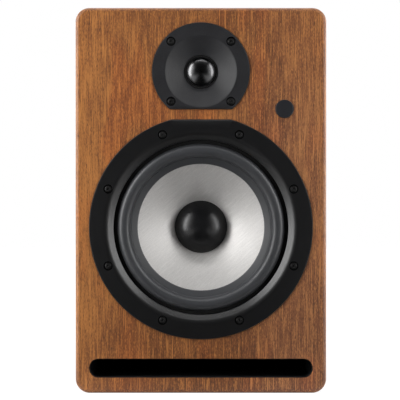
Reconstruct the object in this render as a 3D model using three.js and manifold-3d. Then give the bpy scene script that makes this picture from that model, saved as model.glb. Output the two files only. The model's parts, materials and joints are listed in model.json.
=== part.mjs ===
// A two-way ported bookshelf loudspeaker: a wooden box with a slot port along its foot, an eight-inch
// woofer and a dome tweeter in a shallow waveguide, screwed to the front, and a terminal cup at the back.
//
// Millimetres. +X is right as seen from the front, +Y is into the box and +Z is up. Everything is laid out
// with y = 0 at the front face of the baffle, and the whole is then centred over its foot.

import * as THREE from "three";
import { mergeVertices, toCreasedNormals } from "three/addons/utils/BufferGeometryUtils.js";
import Module from "manifold-3d";

const wasm = await Module();
wasm.setup();

// ---------------------------------------------------------------------------------------------------
// Clearances
const fitGap = 0.3; // between round pieces that fit into each other
const rebateGap = 0.35; // round a driver's flange in its rebate
const pilotGap = 0.25; // round a screw's shank in its hole
const cutoutGap = 1.5; // round a driver's body in its hole

// Box
const wall = 15; // sides, top and bottom
const baffleThickness = 18;
const rearThickness = 15;
const cabinetDepth = 300; // front of the baffle to the rear edge of the sides
const rearInset = 4; // the rear panel lies this far inside the rear edge
const cornerRadius = 14; // of the box, seen from the front
const edgeRadius = 3.5; // roundover along the baffle's front edge
const sideMargin = 13.7; // wood beside the woofer's frame
const topMargin = 14.8; // wood above the tweeter's plate
const driverWeb = 10.4; // wood between the two drivers' flats

// Slot port
const portSill = 1; // lip of the baffle above the duct's floor
const portHeight = 18;
const portSideMargin = 14; // wood at each end of the slot
const portWeb = 19.9; // wood between the slot and the woofer's frame
const shelfThickness = 12;
const shelfLength = 215;

// Brace and lining
const braceSetback = 140; // behind the baffle
const braceThickness = 12;
const braceBorder = 30; // width of the frame round the brace's window
const braceWindowRadius = 20;
const liningThickness = 20;
const liningRearGap = 11; // between the lining and the rear panel
const liningDrop = 290; // how far its two legs hang down the sides

// Woofer: frame
const frameRadius = 111.3;
const frameFlatCut = 3.9; // how far the flat at the top lies inside that radius
const frameThickness = 5;
const frameProud = 1.2;
const frameChamfer = 0.8;
const frameFace = 14.8; // width of the flat face outside the rounded inner edge
const bevelWidth = 9.2; // of that rounded edge
const bevelDepth = 8;
const ledgeDrop = 2.2; // from the bevel's foot to the ledge that carries the surround
const ledgeThickness = 2.5;
const gasketThickness = 1;
const gasketWidth = 4.5;
const tubWall = 4.2; // of the ring behind the flange
const basketDepth = 46.8; // from the ledge's front to the foot of the basket
const basketWall = 3.5;
const basketTaper = 23; // from the tub in to the ring that carries the spider
const shelfWidth = 11; // of that ring
const shelfHeight = 9.5; // of that ring above the foot of the basket
const footWidth = 23.5; // of the foot inside that ring
const spokeCount = 6;
const spokeRootWidth = 24; // at the flange
const spokeTipWidth = 13; // at the spider ring
const spokeThickness = 4;
const ribWidth = 4; // of the rib along the back of each spoke
const ribHeight = 5;

// Woofer: moving parts and their suspension
const surroundGap = 0.4; // round the surround on the frame's ledge
const surroundReveal = 3.8; // between the rounded edge of the frame and the roll
const rollWidth = 13;
const surroundThickness = 0.9;
const surroundLap = 7.1; // of its inner flange on the cone
const coneDepth = 27.5; // from its edge to its neck
const coneBow = 1.2; // how far its wall bows towards the listener
const coneThickness = 1.2;
const capRadius = 25.6;
const capHeight = 14;
const capThickness = 0.9;
const capRim = 1.2;
const spiderInset = 4.5; // from the outer edge of its ring
const spiderFlange = 5;
const spiderWave = 1.6;
const spiderWaves = 3;
const spiderThickness = 0.7;
const formerWall = 0.8;
const formerAboveNeck = 3;
const coilWall = 0.9;
const coilLength = 14;
const coilTail = 0.6; // of the former behind the winding

// Woofer: magnet system
const poleRadius = 17.5;
const ventRadius = 6;
const magneticClearance = 0.6; // on each side of the former and coil
const topPlateThickness = 8;
const magnetRadius = 56;
const magnetOverhang = 4; // past the plates on each side of it
const magnetBore = 26;
const magnetThickness = 18;
const yokeThickness = 8;
const yokeChamfer = 2;
const poleProud = 1; // of the top plate's front

// Woofer: terminal strip
const stripWidth = 26;
const stripLength = 18;
const stripThickness = 2;
const stripOnRing = 7; // how much of the strip lies on the spider ring
const tabInset = 4.5; // from the strip's far edge to the middle of its tabs
const tabWidth = 6.3;
const tabThickness = 1;
const tabLength = 8;
const tabRoot = 0.5; // of a tab within its strip
const tabSpacing = 14;

// Tweeter
const plateRadius = 48.6;
const plateFlatCut = 11; // how far the flat at the bottom lies inside that radius
const plateThickness = 4;
const plateProud = 1.2;
const plateChamfer = 0.7;
const hornBorder = 12.8; // of flat plate round the waveguide
const throatRadius = 17;
const hornDepth = 10;
const hornHollow = 1.2; // how far the waveguide's wall is dished behind a straight cone
const bossInset = 1.8; // of the plate's thick middle within the waveguide's rim
const throatLip = 1;
const domeRadius = 14.2;
const domeHeight = 7.6;
const domeThickness = 0.5;
const domeRollThickness = 0.5;
const domeFlange = 3.2; // of the dome's surround, held between plate and magnet
const tweeterPoleRadius = 12.6;
const tweeterCoilWall = 0.8;
const tweeterCoilLength = 5.5;
const tweeterVentRadius = 4;
const tweeterPlateThickness = 4;
const tweeterMagnetInset = 3.1; // within the plate's flat
const tweeterMagnetOverhang = 1.5;
const tweeterMagnetBore = 18;
const tweeterMagnetThickness = 10;
const tweeterYokeThickness = 5;
const chamberInset = 3; // within the yoke
const chamberDepth = 24;
const chamberWall = 2;

// Screws
const screwHeadRadius = 3.6;
const screwHeadHeight = 2;
const screwHeadChamfer = 0.5;
const screwShankRadius = 1.7;
const screwLength = 15; // under the head
const screwSink = 0.2; // head below the face round it
const screwWellGap = 0.6; // round the head in its counterbore
const wooferScrews = 8;
const wooferScrewInset = 11.3; // from the frame's edge
const tweeterScrews = 4;
const tweeterScrewInset = 6.4; // from the plate's edge

// Badge
const badgeRadius = 9.1;
const badgeThickness = 2;
const badgeProud = 0.8;
const badgeChamfer = 0.4;
const badgeFromSide = 41.7; // of its centre from the box's right side
const badgeBelowTweeter = 37.3;

// Terminal cup
const cupHeight = 140; // of its centre above the floor
const cupWidth = 96;
const cupTall = 76;
const cupFlange = 3;
const cupCorner = 9;
const cupMouthCorner = 8;
const cupBorder = 10; // flange outside the mouth of the recess
const cupWall = 2.2;
const cupDepth = 26;
const cupTaper = 4; // the recess narrows by this on each side
const cupFloor = 3;
const cupScrewInset = 6.5;
const cupScrewLength = 11;

// Binding posts
const postSpacing = 19;
const postRadius = 3;
const postSocketRadius = 2.05;
const postSocketDepth = 18;
const postCollarRadius = 7.5;
const postCollarHeight = 5;
const postTail = 12; // behind the floor of the cup
const postBackNutRadius = 6;
const postBackNutHeight = 4;
const postWireHoleRadius = 1.3;
const postWireHoleRise = 3; // of its centre above the collar
const washerRadius = 6.5;
const washerThickness = 1.2;
const nutRadius = 7;
const nutLength = 16;
const nutFlutes = 12;
const nutFluteDepth = 0.6;
const nutCollarLength = 3;
const nutOverTip = 2; // the nut reaches this far past the post's end

// Crossover
const boardWidth = 90;
const boardTall = 80;
const boardThickness = 1.6;
const boardStandoff = 5;
const boardAboveCup = 24; // between the cup's flange and the board
const standoffRadius = 3;
const standoffInset = 6;
const inductorRadius = 20;
const inductorBore = 8;
const inductorHeight = 16;
const smallInductorRadius = 13;
const smallInductorBore = 5;
const smallInductorHeight = 11;
const capacitorRadius = 8.5;
const capacitorLength = 32;
const partMargin = 4; // between a component and the board's edge

// Internal leads
const leadRadius = 2;
const legRadius = 1.2; // of the single cores at a lead's ends
const legGather = 9; // the cores join the sheath this far from the terminals
const leadSides = 6;
const padRise = 10; // of the lowest solder pads above the board's edge
const inputPad = -8; // places of the pads across the board
const wooferPad = -22;
const tweeterPad = 8;

// Cutting tools and joined parts reach this far past a face, so that no two faces meet there
const past = 1;

// Facets
const archSteps = 5; // across a half roll, a crown or the frame's rounded edge
const innerArchSteps = 3; // across the inside of one
const smallArchSteps = 4; // across the tweeter's roll
const smallInnerArchSteps = 2;
const edgeSteps = 3; // across the roundover of the baffle
const coneSteps = 3; // along the bow of the cone
const ringSteps = 40; // round the woofer's large rings
const hiddenSteps = 14; // round what the box hides
const plateSteps = 32; // round the tweeter's plate
const domeSteps = 20;
const badgeSteps = 16;
const postSteps = 12;
const screwSteps = 8;

// ---------------------------------------------------------------------------------------------------
// Places that follow from the sizes
const portFloor = wall + portSill;
const portTop = portFloor + portHeight;
const wooferHeight = portTop + portWeb + frameRadius;
const frameFlat = frameRadius - frameFlatCut;
const plateFlat = plateRadius - plateFlatCut;
const tweeterHeight = wooferHeight + frameFlat + driverWeb + plateFlat;
const cabinetHeight = tweeterHeight + plateRadius + topMargin;
const cabinetWidth = 2 * (frameRadius + sideMargin);
const innerHalfWidth = cabinetWidth / 2 - wall;
const innerTop = cabinetHeight - wall;

const bevelOuterRadius = frameRadius - frameFace;
const bevelInnerRadius = bevelOuterRadius - bevelWidth;
const frameFront = -frameProud;
const frameBack = frameFront + frameThickness;
const ledge = frameFront + bevelDepth + ledgeDrop;
const tubRadius = bevelInnerRadius + tubWall;
const wooferCutout = tubRadius + cutoutGap;
const basketFoot = ledge + basketDepth;
const spiderShelf = basketFoot - shelfHeight;
const shelfOuterRadius = tubRadius - basketTaper;
const shelfInnerRadius = shelfOuterRadius - shelfWidth;
const footInnerRadius = shelfInnerRadius - footWidth;
const surroundOuterRadius = bevelInnerRadius - surroundGap;
const rollOuterRadius = bevelInnerRadius - surroundReveal;
const rollInnerRadius = rollOuterRadius - rollWidth;
const coneVisibleRadius = rollInnerRadius - surroundLap;
const ledgeInnerRadius = rollOuterRadius - surroundThickness;
const spiderOuterRadius = shelfOuterRadius - spiderInset;
const stripFace = spiderShelf + basketWall + stripThickness;
const stripBottom = shelfOuterRadius - stripOnRing;
const stripTab = stripBottom + stripLength - tabInset;
const topPlateRadius = magnetRadius - magnetOverhang;
const topPlateBack = basketFoot + topPlateThickness;
const magnetBack = topPlateBack + magnetThickness;

const formerInnerRadius = poleRadius + magneticClearance;
const formerOuterRadius = formerInnerRadius + formerWall;
const coilInnerRadius = formerOuterRadius + fitGap;
const coilOuterRadius = coilInnerRadius + coilWall;
const airGapRadius = coilOuterRadius + magneticClearance;
const coneNeckRadius = formerOuterRadius + fitGap;
const coneEdgeRadius = rollInnerRadius - fitGap;
const coneEdge = ledge + surroundThickness; // depth of the cone's front at its edge
const coneNeck = coneEdge + coneDepth;

const plateFront = -plateProud;
const plateBack = plateFront + plateThickness;
const throat = plateFront + hornDepth;
const bossBack = throat + throatLip;
const hornRadius = plateRadius - hornBorder;
const bossRadius = hornRadius - bossInset;
const tweeterMagnetRadius = plateFlat - tweeterMagnetInset;
const tweeterPlateRadius = tweeterMagnetRadius - tweeterMagnetOverhang;
const chamberRadius = tweeterPlateRadius - chamberInset;
const tweeterCutout = Math.max(bossRadius, tweeterMagnetRadius) + cutoutGap;
const tweeterPlateFront = bossBack + domeRollThickness;
const tweeterPlateBack = tweeterPlateFront + tweeterPlateThickness;
const tweeterMagnetBack = tweeterPlateBack + tweeterMagnetThickness;
const tweeterYokeBack = tweeterMagnetBack + tweeterYokeThickness;

const rearFace = cabinetDepth - rearInset;
const rearPanelFront = rearFace - rearThickness;
const cupFace = rearFace + cupFlange;
const cupFloorFace = cupFace - cupDepth;
const cupFloorBack = cupFloorFace - cupFloor;
const collarFace = cupFloorFace + postCollarHeight;
const washerFace = collarFace + fitGap + washerThickness;
const nutFace = washerFace + fitGap;
const postTip = nutFace + nutLength - nutOverTip;

const boardBack = rearPanelFront - boardStandoff;
const boardFront = boardBack - boardThickness;
const boardBottom = cupHeight + cupTall / 2 + boardAboveCup;
const boardCentre = boardBottom + boardTall / 2;

// ---------------------------------------------------------------------------------------------------
// Finishes
const finish = (color, roughness, metalness = 0) =>
  new THREE.MeshStandardMaterial({ color, roughness, metalness });

const finishes = {
  walnut: finish(0x8f6139, 0.55),
  board: finish(0x8a745a, 0.9),
  rearPaint: finish(0x1d1c1b, 0.8),
  castFrame: finish(0x17181a, 0.55),
  plate: finish(0x2c2d30, 0.6),
  rubber: finish(0x45494d, 0.6),
  cone: finish(0xb9b6b3, 0.45, 0.3),
  cap: finish(0x141415, 0.35),
  dome: finish(0x2a2a2c, 0.15, 0.9),
  domeRoll: finish(0x0c0c0d, 0.6),
  cloth: finish(0xb99b4a, 0.9),
  former: finish(0xa98b55, 0.6),
  copper: finish(0xa65c33, 0.35, 1),
  steel: finish(0x9a9ca0, 0.35, 1),
  ferrite: finish(0x2f2f31, 0.8),
  foam: finish(0x2b2b2c, 0.95),
  wadding: finish(0xd8d4cc, 1),
  screw: finish(0x111112, 0.4, 0.6),
  badge: finish(0x151516, 0.25),
  plastic: finish(0x19191a, 0.55),
  gold: finish(0xc8a24a, 0.3, 1),
  redPlastic: finish(0xa01818, 0.35),
  blackPlastic: finish(0x161617, 0.35),
  laminate: finish(0x2f5a38, 0.6),
  film: finish(0xb7a23a, 0.45),
  leadJacket: finish(0x2c2c2e, 0.6),
};

// ---------------------------------------------------------------------------------------------------
// Geometry helpers

// The signed volume of an indexed triangle mesh, which is negative when its faces point inwards.
function signedVolume(positions, index) {
  const [a, b, c] = [new THREE.Vector3(), new THREE.Vector3(), new THREE.Vector3()];
  let sum = 0;
  for (let i = 0; i < index.length; i += 3) {
    a.fromArray(positions, 3 * index[i]);
    b.fromArray(positions, 3 * index[i + 1]);
    c.fromArray(positions, 3 * index[i + 2]);
    sum += a.dot(b.cross(c));
  }
  return sum / 6;
}

// The triangles of an index that have three different corners.
function wholeTriangles(index) {
  const whole = [];
  for (let i = 0; i < index.length; i += 3) {
    const [a, b, c] = index.slice(i, i + 3);
    if (a !== b && b !== c && c !== a) whole.push(a, b, c);
  }
  return new Uint32Array(whole);
}

// A closed three.js geometry as a solid that can be joined and cut, with its faces pointing out.
function solidOf(geometry) {
  const bare = new THREE.BufferGeometry();
  bare.setAttribute("position", geometry.getAttribute("position"));
  if (geometry.index) bare.setIndex(geometry.index);
  const merged = mergeVertices(bare, 1e-4);
  const vertProperties = new Float32Array(merged.getAttribute("position").array);
  const triVerts = wholeTriangles(merged.index.array);
  if (signedVolume(vertProperties, triVerts) < 0) triVerts.reverse();
  return new wasm.Manifold(new wasm.Mesh({ numProp: 3, vertProperties, triVerts }));
}

// A solid as a three.js geometry, smooth over curves and sharp at edges.
function geometryOf(solid) {
  const { vertProperties, triVerts } = solid.getMesh();
  const geometry = new THREE.BufferGeometry();
  geometry.setAttribute("position", new THREE.BufferAttribute(vertProperties, 3));
  geometry.setIndex(new THREE.BufferAttribute(triVerts, 1));
  return toCreasedNormals(geometry, THREE.MathUtils.degToRad(30));
}

const joined = (...solids) => solids.reduce((all, solid) => all.add(solid));
const cut = (body, ...tools) => tools.reduce((left, tool) => left.subtract(tool), body);

// A named mesh of a solid.
function piece(name, solid, material) {
  const mesh = new THREE.Mesh(geometryOf(solid), material);
  mesh.name = name;
  return mesh;
}

// Turns a closed outline of [radius, depth] points about the Y axis.
function turned(outline, steps) {
  const points = outline.map(([radius, depth]) => new THREE.Vector2(radius, depth));
  const onAxis = points[0].x === 0 && points.at(-1).x === 0;
  if (!onAxis) points.push(points[0].clone());
  return solidOf(new THREE.LatheGeometry(points, steps));
}

const disc = (radius, front, back, steps) =>
  turned([[0, front], [radius, front], [radius, back], [0, back]], steps);

const ring = (inner, outer, front, back, steps) =>
  turned([[inner, front], [outer, front], [outer, back], [inner, back]], steps);

function block(x0, x1, y0, y1, z0, z1) {
  const geometry = new THREE.BoxGeometry(x1 - x0, y1 - y0, z1 - z0);
  geometry.translate((x0 + x1) / 2, (y0 + y1) / 2, (z0 + z1) / 2);
  return solidOf(geometry);
}

// Extrudes a shape drawn in the XZ plane from one depth to another.
function slab(shape, front, back, curveSegments = 3) {
  const geometry = new THREE.ExtrudeGeometry(shape, {
    depth: back - front,
    bevelEnabled: false,
    curveSegments,
  });
  geometry.rotateX(Math.PI / 2);
  geometry.translate(0, back, 0);
  return solidOf(geometry);
}

// A rectangle with round corners, centred on (cx, cz).
function roundedRectangle(width, height, radius, cx = 0, cz = 0) {
  const [x0, x1, z0, z1] = [cx - width / 2, cx + width / 2, cz - height / 2, cz + height / 2];
  const shape = new THREE.Shape();
  shape.absarc(x1 - radius, z0 + radius, radius, -Math.PI / 2, 0);
  shape.absarc(x1 - radius, z1 - radius, radius, 0, Math.PI / 2);
  shape.absarc(x0 + radius, z1 - radius, radius, Math.PI / 2, Math.PI);
  shape.absarc(x0 + radius, z0 + radius, radius, Math.PI, Math.PI * 1.5);
  shape.closePath();
  return shape;
}

// Joins convex outlines of equal length, each { shape, depth }, into one closed body.
function lofted(sections, curveSegments = 3) {
  const rings = sections.map(({ shape, depth }) =>
    shape
      .getPoints(curveSegments)
      .slice(0, -1)
      .map((p) => [p.x, depth, p.y]),
  );
  const count = rings[0].length;
  const index = [];
  for (let s = 0; s + 1 < rings.length; s++)
    for (let i = 0; i < count; i++) {
      const [a, b] = [s * count + i, s * count + ((i + 1) % count)];
      index.push(a, b, a + count, b, b + count, a + count);
    }
  const last = (rings.length - 1) * count;
  for (let i = 1; i + 1 < count; i++) index.push(0, i + 1, i, last, last + i, last + i + 1);
  const geometry = new THREE.BufferGeometry();
  geometry.setAttribute("position", new THREE.Float32BufferAttribute(rings.flat(2), 3));
  geometry.setIndex(index);
  return solidOf(geometry);
}

// Points of an arc in [radius, depth], from one angle to another about a centre.
function arc(centreRadius, centreDepth, radial, deep, from, to, steps) {
  return Array.from({ length: steps + 1 }, (_, i) => {
    const angle = THREE.MathUtils.degToRad(from + ((to - from) * i) / steps);
    return [centreRadius + radial * Math.cos(angle), centreDepth - deep * Math.sin(angle)];
  });
}

// Points of a curve in [radius, depth] that bows away from the straight line between its ends.
function bowed([r0, y0], [r1, y1], bow, steps) {
  const middle = new THREE.Vector2((r0 + r1) / 2, (y0 + y1) / 2 + 2 * bow);
  const curve = new THREE.QuadraticBezierCurve(new THREE.Vector2(r0, y0), middle, new THREE.Vector2(r1, y1));
  return curve.getPoints(steps).map((p) => [p.x, p.y]);
}

// Places spaced evenly round a circle, each as { x, z }.
function roundCircle(count, radius, startDegrees) {
  return Array.from({ length: count }, (_, i) => {
    const angle = THREE.MathUtils.degToRad(startDegrees + (360 * i) / count);
    return { x: radius * Math.cos(angle), z: radius * Math.sin(angle) };
  });
}

const wooferScrewCircle = frameRadius - wooferScrewInset;
const wooferScrewPlaces = roundCircle(wooferScrews, wooferScrewCircle, 180 / wooferScrews);
const tweeterScrewCircle = plateRadius - tweeterScrewInset;
const tweeterScrewPlaces = roundCircle(tweeterScrews, tweeterScrewCircle, 180 / tweeterScrews);
const cupScrewPlaces = [-1, 1].flatMap((side) =>
  [-1, 1].map((end) => ({
    x: side * (cupWidth / 2 - cupScrewInset),
    z: cupHeight + end * (cupTall / 2 - cupScrewInset),
  })),
);
const postPlaces = { red: -postSpacing / 2, black: postSpacing / 2 };

// ---------------------------------------------------------------------------------------------------
// Screws: a pan head on a plain shank, its face at y = 0 and its shank towards +Y

function screwSolid(length) {
  const [head, shank] = [screwHeadRadius, screwShankRadius];
  return turned(
    [
      [0, 0],
      [head - screwHeadChamfer, 0],
      [head, screwHeadChamfer],
      [head, screwHeadHeight],
      [shank, screwHeadHeight],
      [shank, screwHeadHeight + length - shank],
      [0, screwHeadHeight + length],
    ],
    screwSteps,
  );
}

// The counterbore and hole for a screw whose head lies just under the face of a plate. It goes in along
// +Y, or along -Y where inward is -1.
function screwWell(x, z, face, back, inward = 1) {
  const bottom = face + inward * (screwSink + screwHeadHeight);
  return joined(
    disc(screwHeadRadius + screwWellGap, face - past * inward, bottom, screwSteps),
    disc(screwShankRadius + pilotGap, bottom - past * inward, back + past * inward, screwSteps),
  ).translate([x, 0, z]);
}

// The hole for a screw's shank in the wood behind a plate.
function pilotHole(x, z, face, length) {
  const end = face + screwSink + screwHeadHeight + length + past;
  return disc(screwShankRadius + pilotGap, face, end, screwSteps).translate([x, 0, z]);
}

// ---------------------------------------------------------------------------------------------------
// Box

// A disc with one flat, as { radius, flat } from its centre, the flat above or below it.
function flattedShape(radius, flat, cz, up) {
  const half = Math.acos(Math.min(1, flat / radius));
  const from = up ? Math.PI / 2 + half : -Math.PI / 2 + half;
  const shape = new THREE.Shape();
  shape.absarc(0, cz, radius, from, from + 2 * (Math.PI - half));
  shape.closePath();
  return shape;
}

const badgePlace = [cabinetWidth / 2 - badgeFromSide, 0, tweeterHeight - badgeBelowTweeter];

function frontBaffle() {
  const centre = cabinetHeight / 2;
  const section = (inset, depth) => ({
    shape: roundedRectangle(
      cabinetWidth - 2 * inset,
      cabinetHeight - 2 * inset,
      cornerRadius - inset,
      0,
      centre,
    ),
    depth,
  });
  const sections = [];
  for (let i = 0; i <= edgeSteps; i++) {
    const angle = (Math.PI / 2) * (i / edgeSteps);
    sections.push(section(edgeRadius * (1 - Math.sin(angle)), edgeRadius * (1 - Math.cos(angle))));
  }
  sections.push(section(0, baffleThickness));

  const through = baffleThickness + past;
  const wooferSeat = frameBack + gasketThickness;
  const slotWidth = cabinetWidth - 2 * portSideMargin;
  const slot = roundedRectangle(slotWidth, portHeight, portHeight / 2, 0, portFloor + portHeight / 2);
  const tools = [
    slab(
      flattedShape(frameRadius + rebateGap, frameFlat + rebateGap, wooferHeight, true),
      -past,
      wooferSeat,
      ringSteps / 2,
    ),
    disc(wooferCutout, -past, through, ringSteps).translate([0, 0, wooferHeight]),
    slab(
      flattedShape(plateRadius + rebateGap, plateFlat + rebateGap, tweeterHeight, false),
      -past,
      plateBack,
      plateSteps / 2,
    ),
    disc(tweeterCutout, -past, through, domeSteps).translate([0, 0, tweeterHeight]),
    slab(slot, -past, through),
    disc(badgeRadius + fitGap, -past, badgeThickness - badgeProud, badgeSteps).translate(badgePlace),
    ...wooferScrewPlaces.map(({ x, z }) => pilotHole(x, wooferHeight + z, frameFront, screwLength)),
    ...tweeterScrewPlaces.map(({ x, z }) => pilotHole(x, tweeterHeight + z, plateFront, screwLength)),
  ];
  return cut(lofted(sections), ...tools);
}

// One side, whose outer edges are rounded to the box's corner radius.
function sidePanel() {
  const outer = cabinetWidth / 2;
  const shape = new THREE.Shape();
  shape.moveTo(innerHalfWidth, 0);
  shape.absarc(outer - cornerRadius, cornerRadius, cornerRadius, -Math.PI / 2, 0);
  shape.absarc(outer - cornerRadius, cabinetHeight - cornerRadius, cornerRadius, 0, Math.PI / 2);
  shape.lineTo(innerHalfWidth, cabinetHeight);
  shape.closePath();
  return slab(shape, baffleThickness, cabinetDepth);
}

function rearPanel() {
  const hole = screwShankRadius + pilotGap;
  const opening = roundedRectangle(
    cupWidth - 2 * cupBorder + 2 * (cupWall + fitGap),
    cupTall - 2 * cupBorder + 2 * (cupWall + fitGap),
    cupCorner,
    0,
    cupHeight,
  );
  return cut(
    block(-innerHalfWidth, innerHalfWidth, rearPanelFront, rearFace, wall, innerTop),
    slab(opening, rearPanelFront - past, rearFace + past),
    ...cupScrewPlaces.map(({ x, z }) =>
      disc(hole, rearFace - cupScrewLength - past, rearFace + past, screwSteps).translate([x, 0, z]),
    ),
  );
}

// A frame across the box with a large window for the air and the leads.
function cabinetBrace() {
  const front = baffleThickness + braceSetback;
  const back = front + braceThickness;
  const bottom = portTop + shelfThickness;
  const window = roundedRectangle(
    2 * (innerHalfWidth - braceBorder),
    innerTop - bottom - 2 * braceBorder,
    braceWindowRadius,
    0,
    (bottom + innerTop) / 2,
  );
  return cut(
    block(-innerHalfWidth, innerHalfWidth, front, back, bottom, innerTop),
    slab(window, front - past, back + past),
  );
}

// Wadding that hangs from the top panel down both sides, behind the brace.
function dampingLining() {
  const front = baffleThickness + braceSetback + braceThickness;
  const back = rearPanelFront - liningRearGap;
  const inner = innerHalfWidth - liningThickness;
  const bottom = innerTop - liningDrop;
  return cut(
    block(-innerHalfWidth, innerHalfWidth, front, back, bottom, innerTop),
    block(-inner, inner, front - past, back + past, bottom - past, innerTop - liningThickness),
  );
}

function box() {
  const group = new THREE.Group();
  const right = sidePanel();
  const back = cabinetDepth;
  const shelfBack = baffleThickness + shelfLength;
  group.add(
    piece("front_baffle", frontBaffle(), finishes.walnut),
    piece("side_panel_right", right, finishes.walnut),
    piece("side_panel_left", right.scale([-1, 1, 1]), finishes.walnut),
    piece(
      "top_panel",
      block(-innerHalfWidth, innerHalfWidth, baffleThickness, back, innerTop, cabinetHeight),
      finishes.walnut,
    ),
    piece(
      "bottom_panel",
      block(-innerHalfWidth, innerHalfWidth, baffleThickness, back, 0, wall),
      finishes.walnut,
    ),
    piece("rear_panel", rearPanel(), finishes.rearPaint),
    piece(
      "port_shelf",
      block(-innerHalfWidth, innerHalfWidth, baffleThickness, shelfBack, portTop, portTop + shelfThickness),
      finishes.board,
    ),
    piece("cabinet_brace", cabinetBrace(), finishes.board),
    piece("damping_lining", dampingLining(), finishes.wadding),
  );
  return group;
}

function badge() {
  const front = -badgeProud;
  const body = turned(
    [
      [0, front],
      [badgeRadius - badgeChamfer, front],
      [badgeRadius, front + badgeChamfer],
      [badgeRadius, front + badgeThickness],
      [0, front + badgeThickness],
    ],
    badgeSteps,
  );
  const mesh = piece("front_badge", body, finishes.badge);
  mesh.position.set(...badgePlace);
  return mesh;
}

// ---------------------------------------------------------------------------------------------------
// Woofer, built about its own axis

// The flange with its rounded inner edge, the tub behind it and the ledge for the surround.
function basketRim() {
  const bevel = arc(
    bevelOuterRadius,
    frameFront + bevelDepth,
    bevelWidth,
    bevelDepth,
    90,
    180,
    archSteps,
  );
  return turned(
    [
      [frameRadius, frameBack],
      [frameRadius, frameFront + frameChamfer],
      [frameRadius - frameChamfer, frameFront],
      ...bevel,
      [bevelInnerRadius, ledge],
      [ledgeInnerRadius, ledge],
      [ledgeInnerRadius, ledge + ledgeThickness],
      [tubRadius, ledge + ledgeThickness],
      [tubRadius, frameBack],
    ],
    ringSteps,
  );
}

// The ring that carries the spider, and the dished foot that holds the magnet.
function basketFootRing() {
  const wallFoot = spiderShelf + basketWall;
  return turned(
    [
      [shelfOuterRadius, spiderShelf],
      [shelfOuterRadius, wallFoot],
      [shelfInnerRadius + basketWall, wallFoot],
      [shelfInnerRadius, basketFoot],
      [footInnerRadius, basketFoot],
      [footInnerRadius, basketFoot - basketWall],
      [shelfInnerRadius - basketWall, basketFoot - basketWall],
      [shelfInnerRadius, spiderShelf],
    ],
    hiddenSteps,
  );
}

// The spokes, which widen towards the flange, with a rib along the back of each.
function basketSpokes() {
  const [root, tip] = [spokeRootWidth / 2, spokeTipWidth / 2];
  const wallFoot = spiderShelf + basketWall;
  const webShell = turned(
    [
      [tubRadius, ledge],
      [shelfOuterRadius, wallFoot],
      [shelfOuterRadius - spokeThickness, wallFoot],
      [tubRadius - spokeThickness, ledge],
    ],
    2 * hiddenSteps,
  );
  const ribShell = turned(
    [
      [tubRadius, ledge],
      [tubRadius, ledge + 2 * ribHeight],
      [shelfOuterRadius + ribHeight, wallFoot],
      [shelfOuterRadius - spokeThickness / 2, wallFoot],
      [tubRadius - spokeThickness / 2, ledge],
    ],
    2 * hiddenSteps,
  );
  const plan = new THREE.Shape();
  plan.moveTo(shelfInnerRadius, tip);
  plan.lineTo(tubRadius, root);
  plan.lineTo(tubRadius, -root);
  plan.lineTo(shelfInnerRadius, -tip);
  plan.closePath();
  const web = slab(plan, ledge, wallFoot).intersect(webShell);
  const rib = block(shelfInnerRadius, tubRadius, ledge, wallFoot, -ribWidth / 2, ribWidth / 2);
  const spoke = web.add(rib.intersect(ribShell));
  return joined(
    ...Array.from({ length: spokeCount }, (_, i) => spoke.rotate([0, (360 * i) / spokeCount, 0])),
  );
}

function wooferBasket() {
  return cut(
    joined(basketRim(), basketFootRing(), basketSpokes()),
    block(-frameRadius, frameRadius, frameFront - past, frameBack + past, frameFlat, frameRadius + past),
    ...wooferScrewPlaces.map(({ x, z }) => screwWell(x, z, frameFront, frameBack)),
  );
}

// Depth of the cone's front face at a radius, on the curve that its wall follows.
function coneDepthAt(radius) {
  const share = (coneEdgeRadius - radius) / (coneEdgeRadius - coneNeckRadius);
  return coneEdge + coneDepth * share - 4 * coneBow * share * (1 - share);
}

// The rubber surround: a flange on the ledge, a half roll and a flange on the cone.
function wooferSurround() {
  const middle = (rollOuterRadius + rollInnerRadius) / 2;
  const half = rollWidth / 2;
  const seat = ledge - surroundThickness;
  const inner = half - surroundThickness;
  const onCone = (radius, lift) => [radius, coneDepthAt(radius) - fitGap - lift];
  return turned(
    [
      [surroundOuterRadius, ledge],
      [surroundOuterRadius, seat],
      ...arc(middle, seat, half, half, 0, 180, archSteps),
      onCone(coneVisibleRadius, surroundThickness),
      onCone(coneVisibleRadius, 0),
      onCone(rollInnerRadius, 0),
      ...arc(middle, seat, inner, inner, 180, 0, innerArchSteps),
      [rollOuterRadius - surroundThickness, ledge],
    ],
    ringSteps,
  );
}

function wooferCone() {
  const span = coneEdgeRadius - coneNeckRadius;
  const radii = Array.from({ length: coneSteps + 1 }, (_, i) => coneEdgeRadius - (span * i) / coneSteps);
  const front = radii.map((radius) => [radius, coneDepthAt(radius)]);
  const back = radii.map((radius) => [radius, coneDepthAt(radius) + coneThickness]);
  return turned([...front, ...back.reverse()], ringSteps);
}

// A shell with a round crown, its rim towards +Y: crown radius, height, wall and straight rim.
function crown(radius, height, thickness, rim, foot) {
  const sphere = (radius * radius + height * height) / (2 * height);
  const centre = foot - rim - height + sphere;
  const edge = THREE.MathUtils.radToDeg(Math.asin(radius / sphere));
  const outer = arc(0, centre, sphere, sphere, 90, 90 - edge, archSteps);
  const inside = sphere - thickness;
  const innerEdge = THREE.MathUtils.radToDeg(Math.asin((radius - thickness) / inside));
  const inner = arc(0, centre, inside, inside, 90 - innerEdge, 90, innerArchSteps);
  outer[0][0] = 0;
  inner.at(-1)[0] = 0;
  return turned([...outer, [radius, foot], [radius - thickness, foot], ...inner], domeSteps);
}

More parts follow.
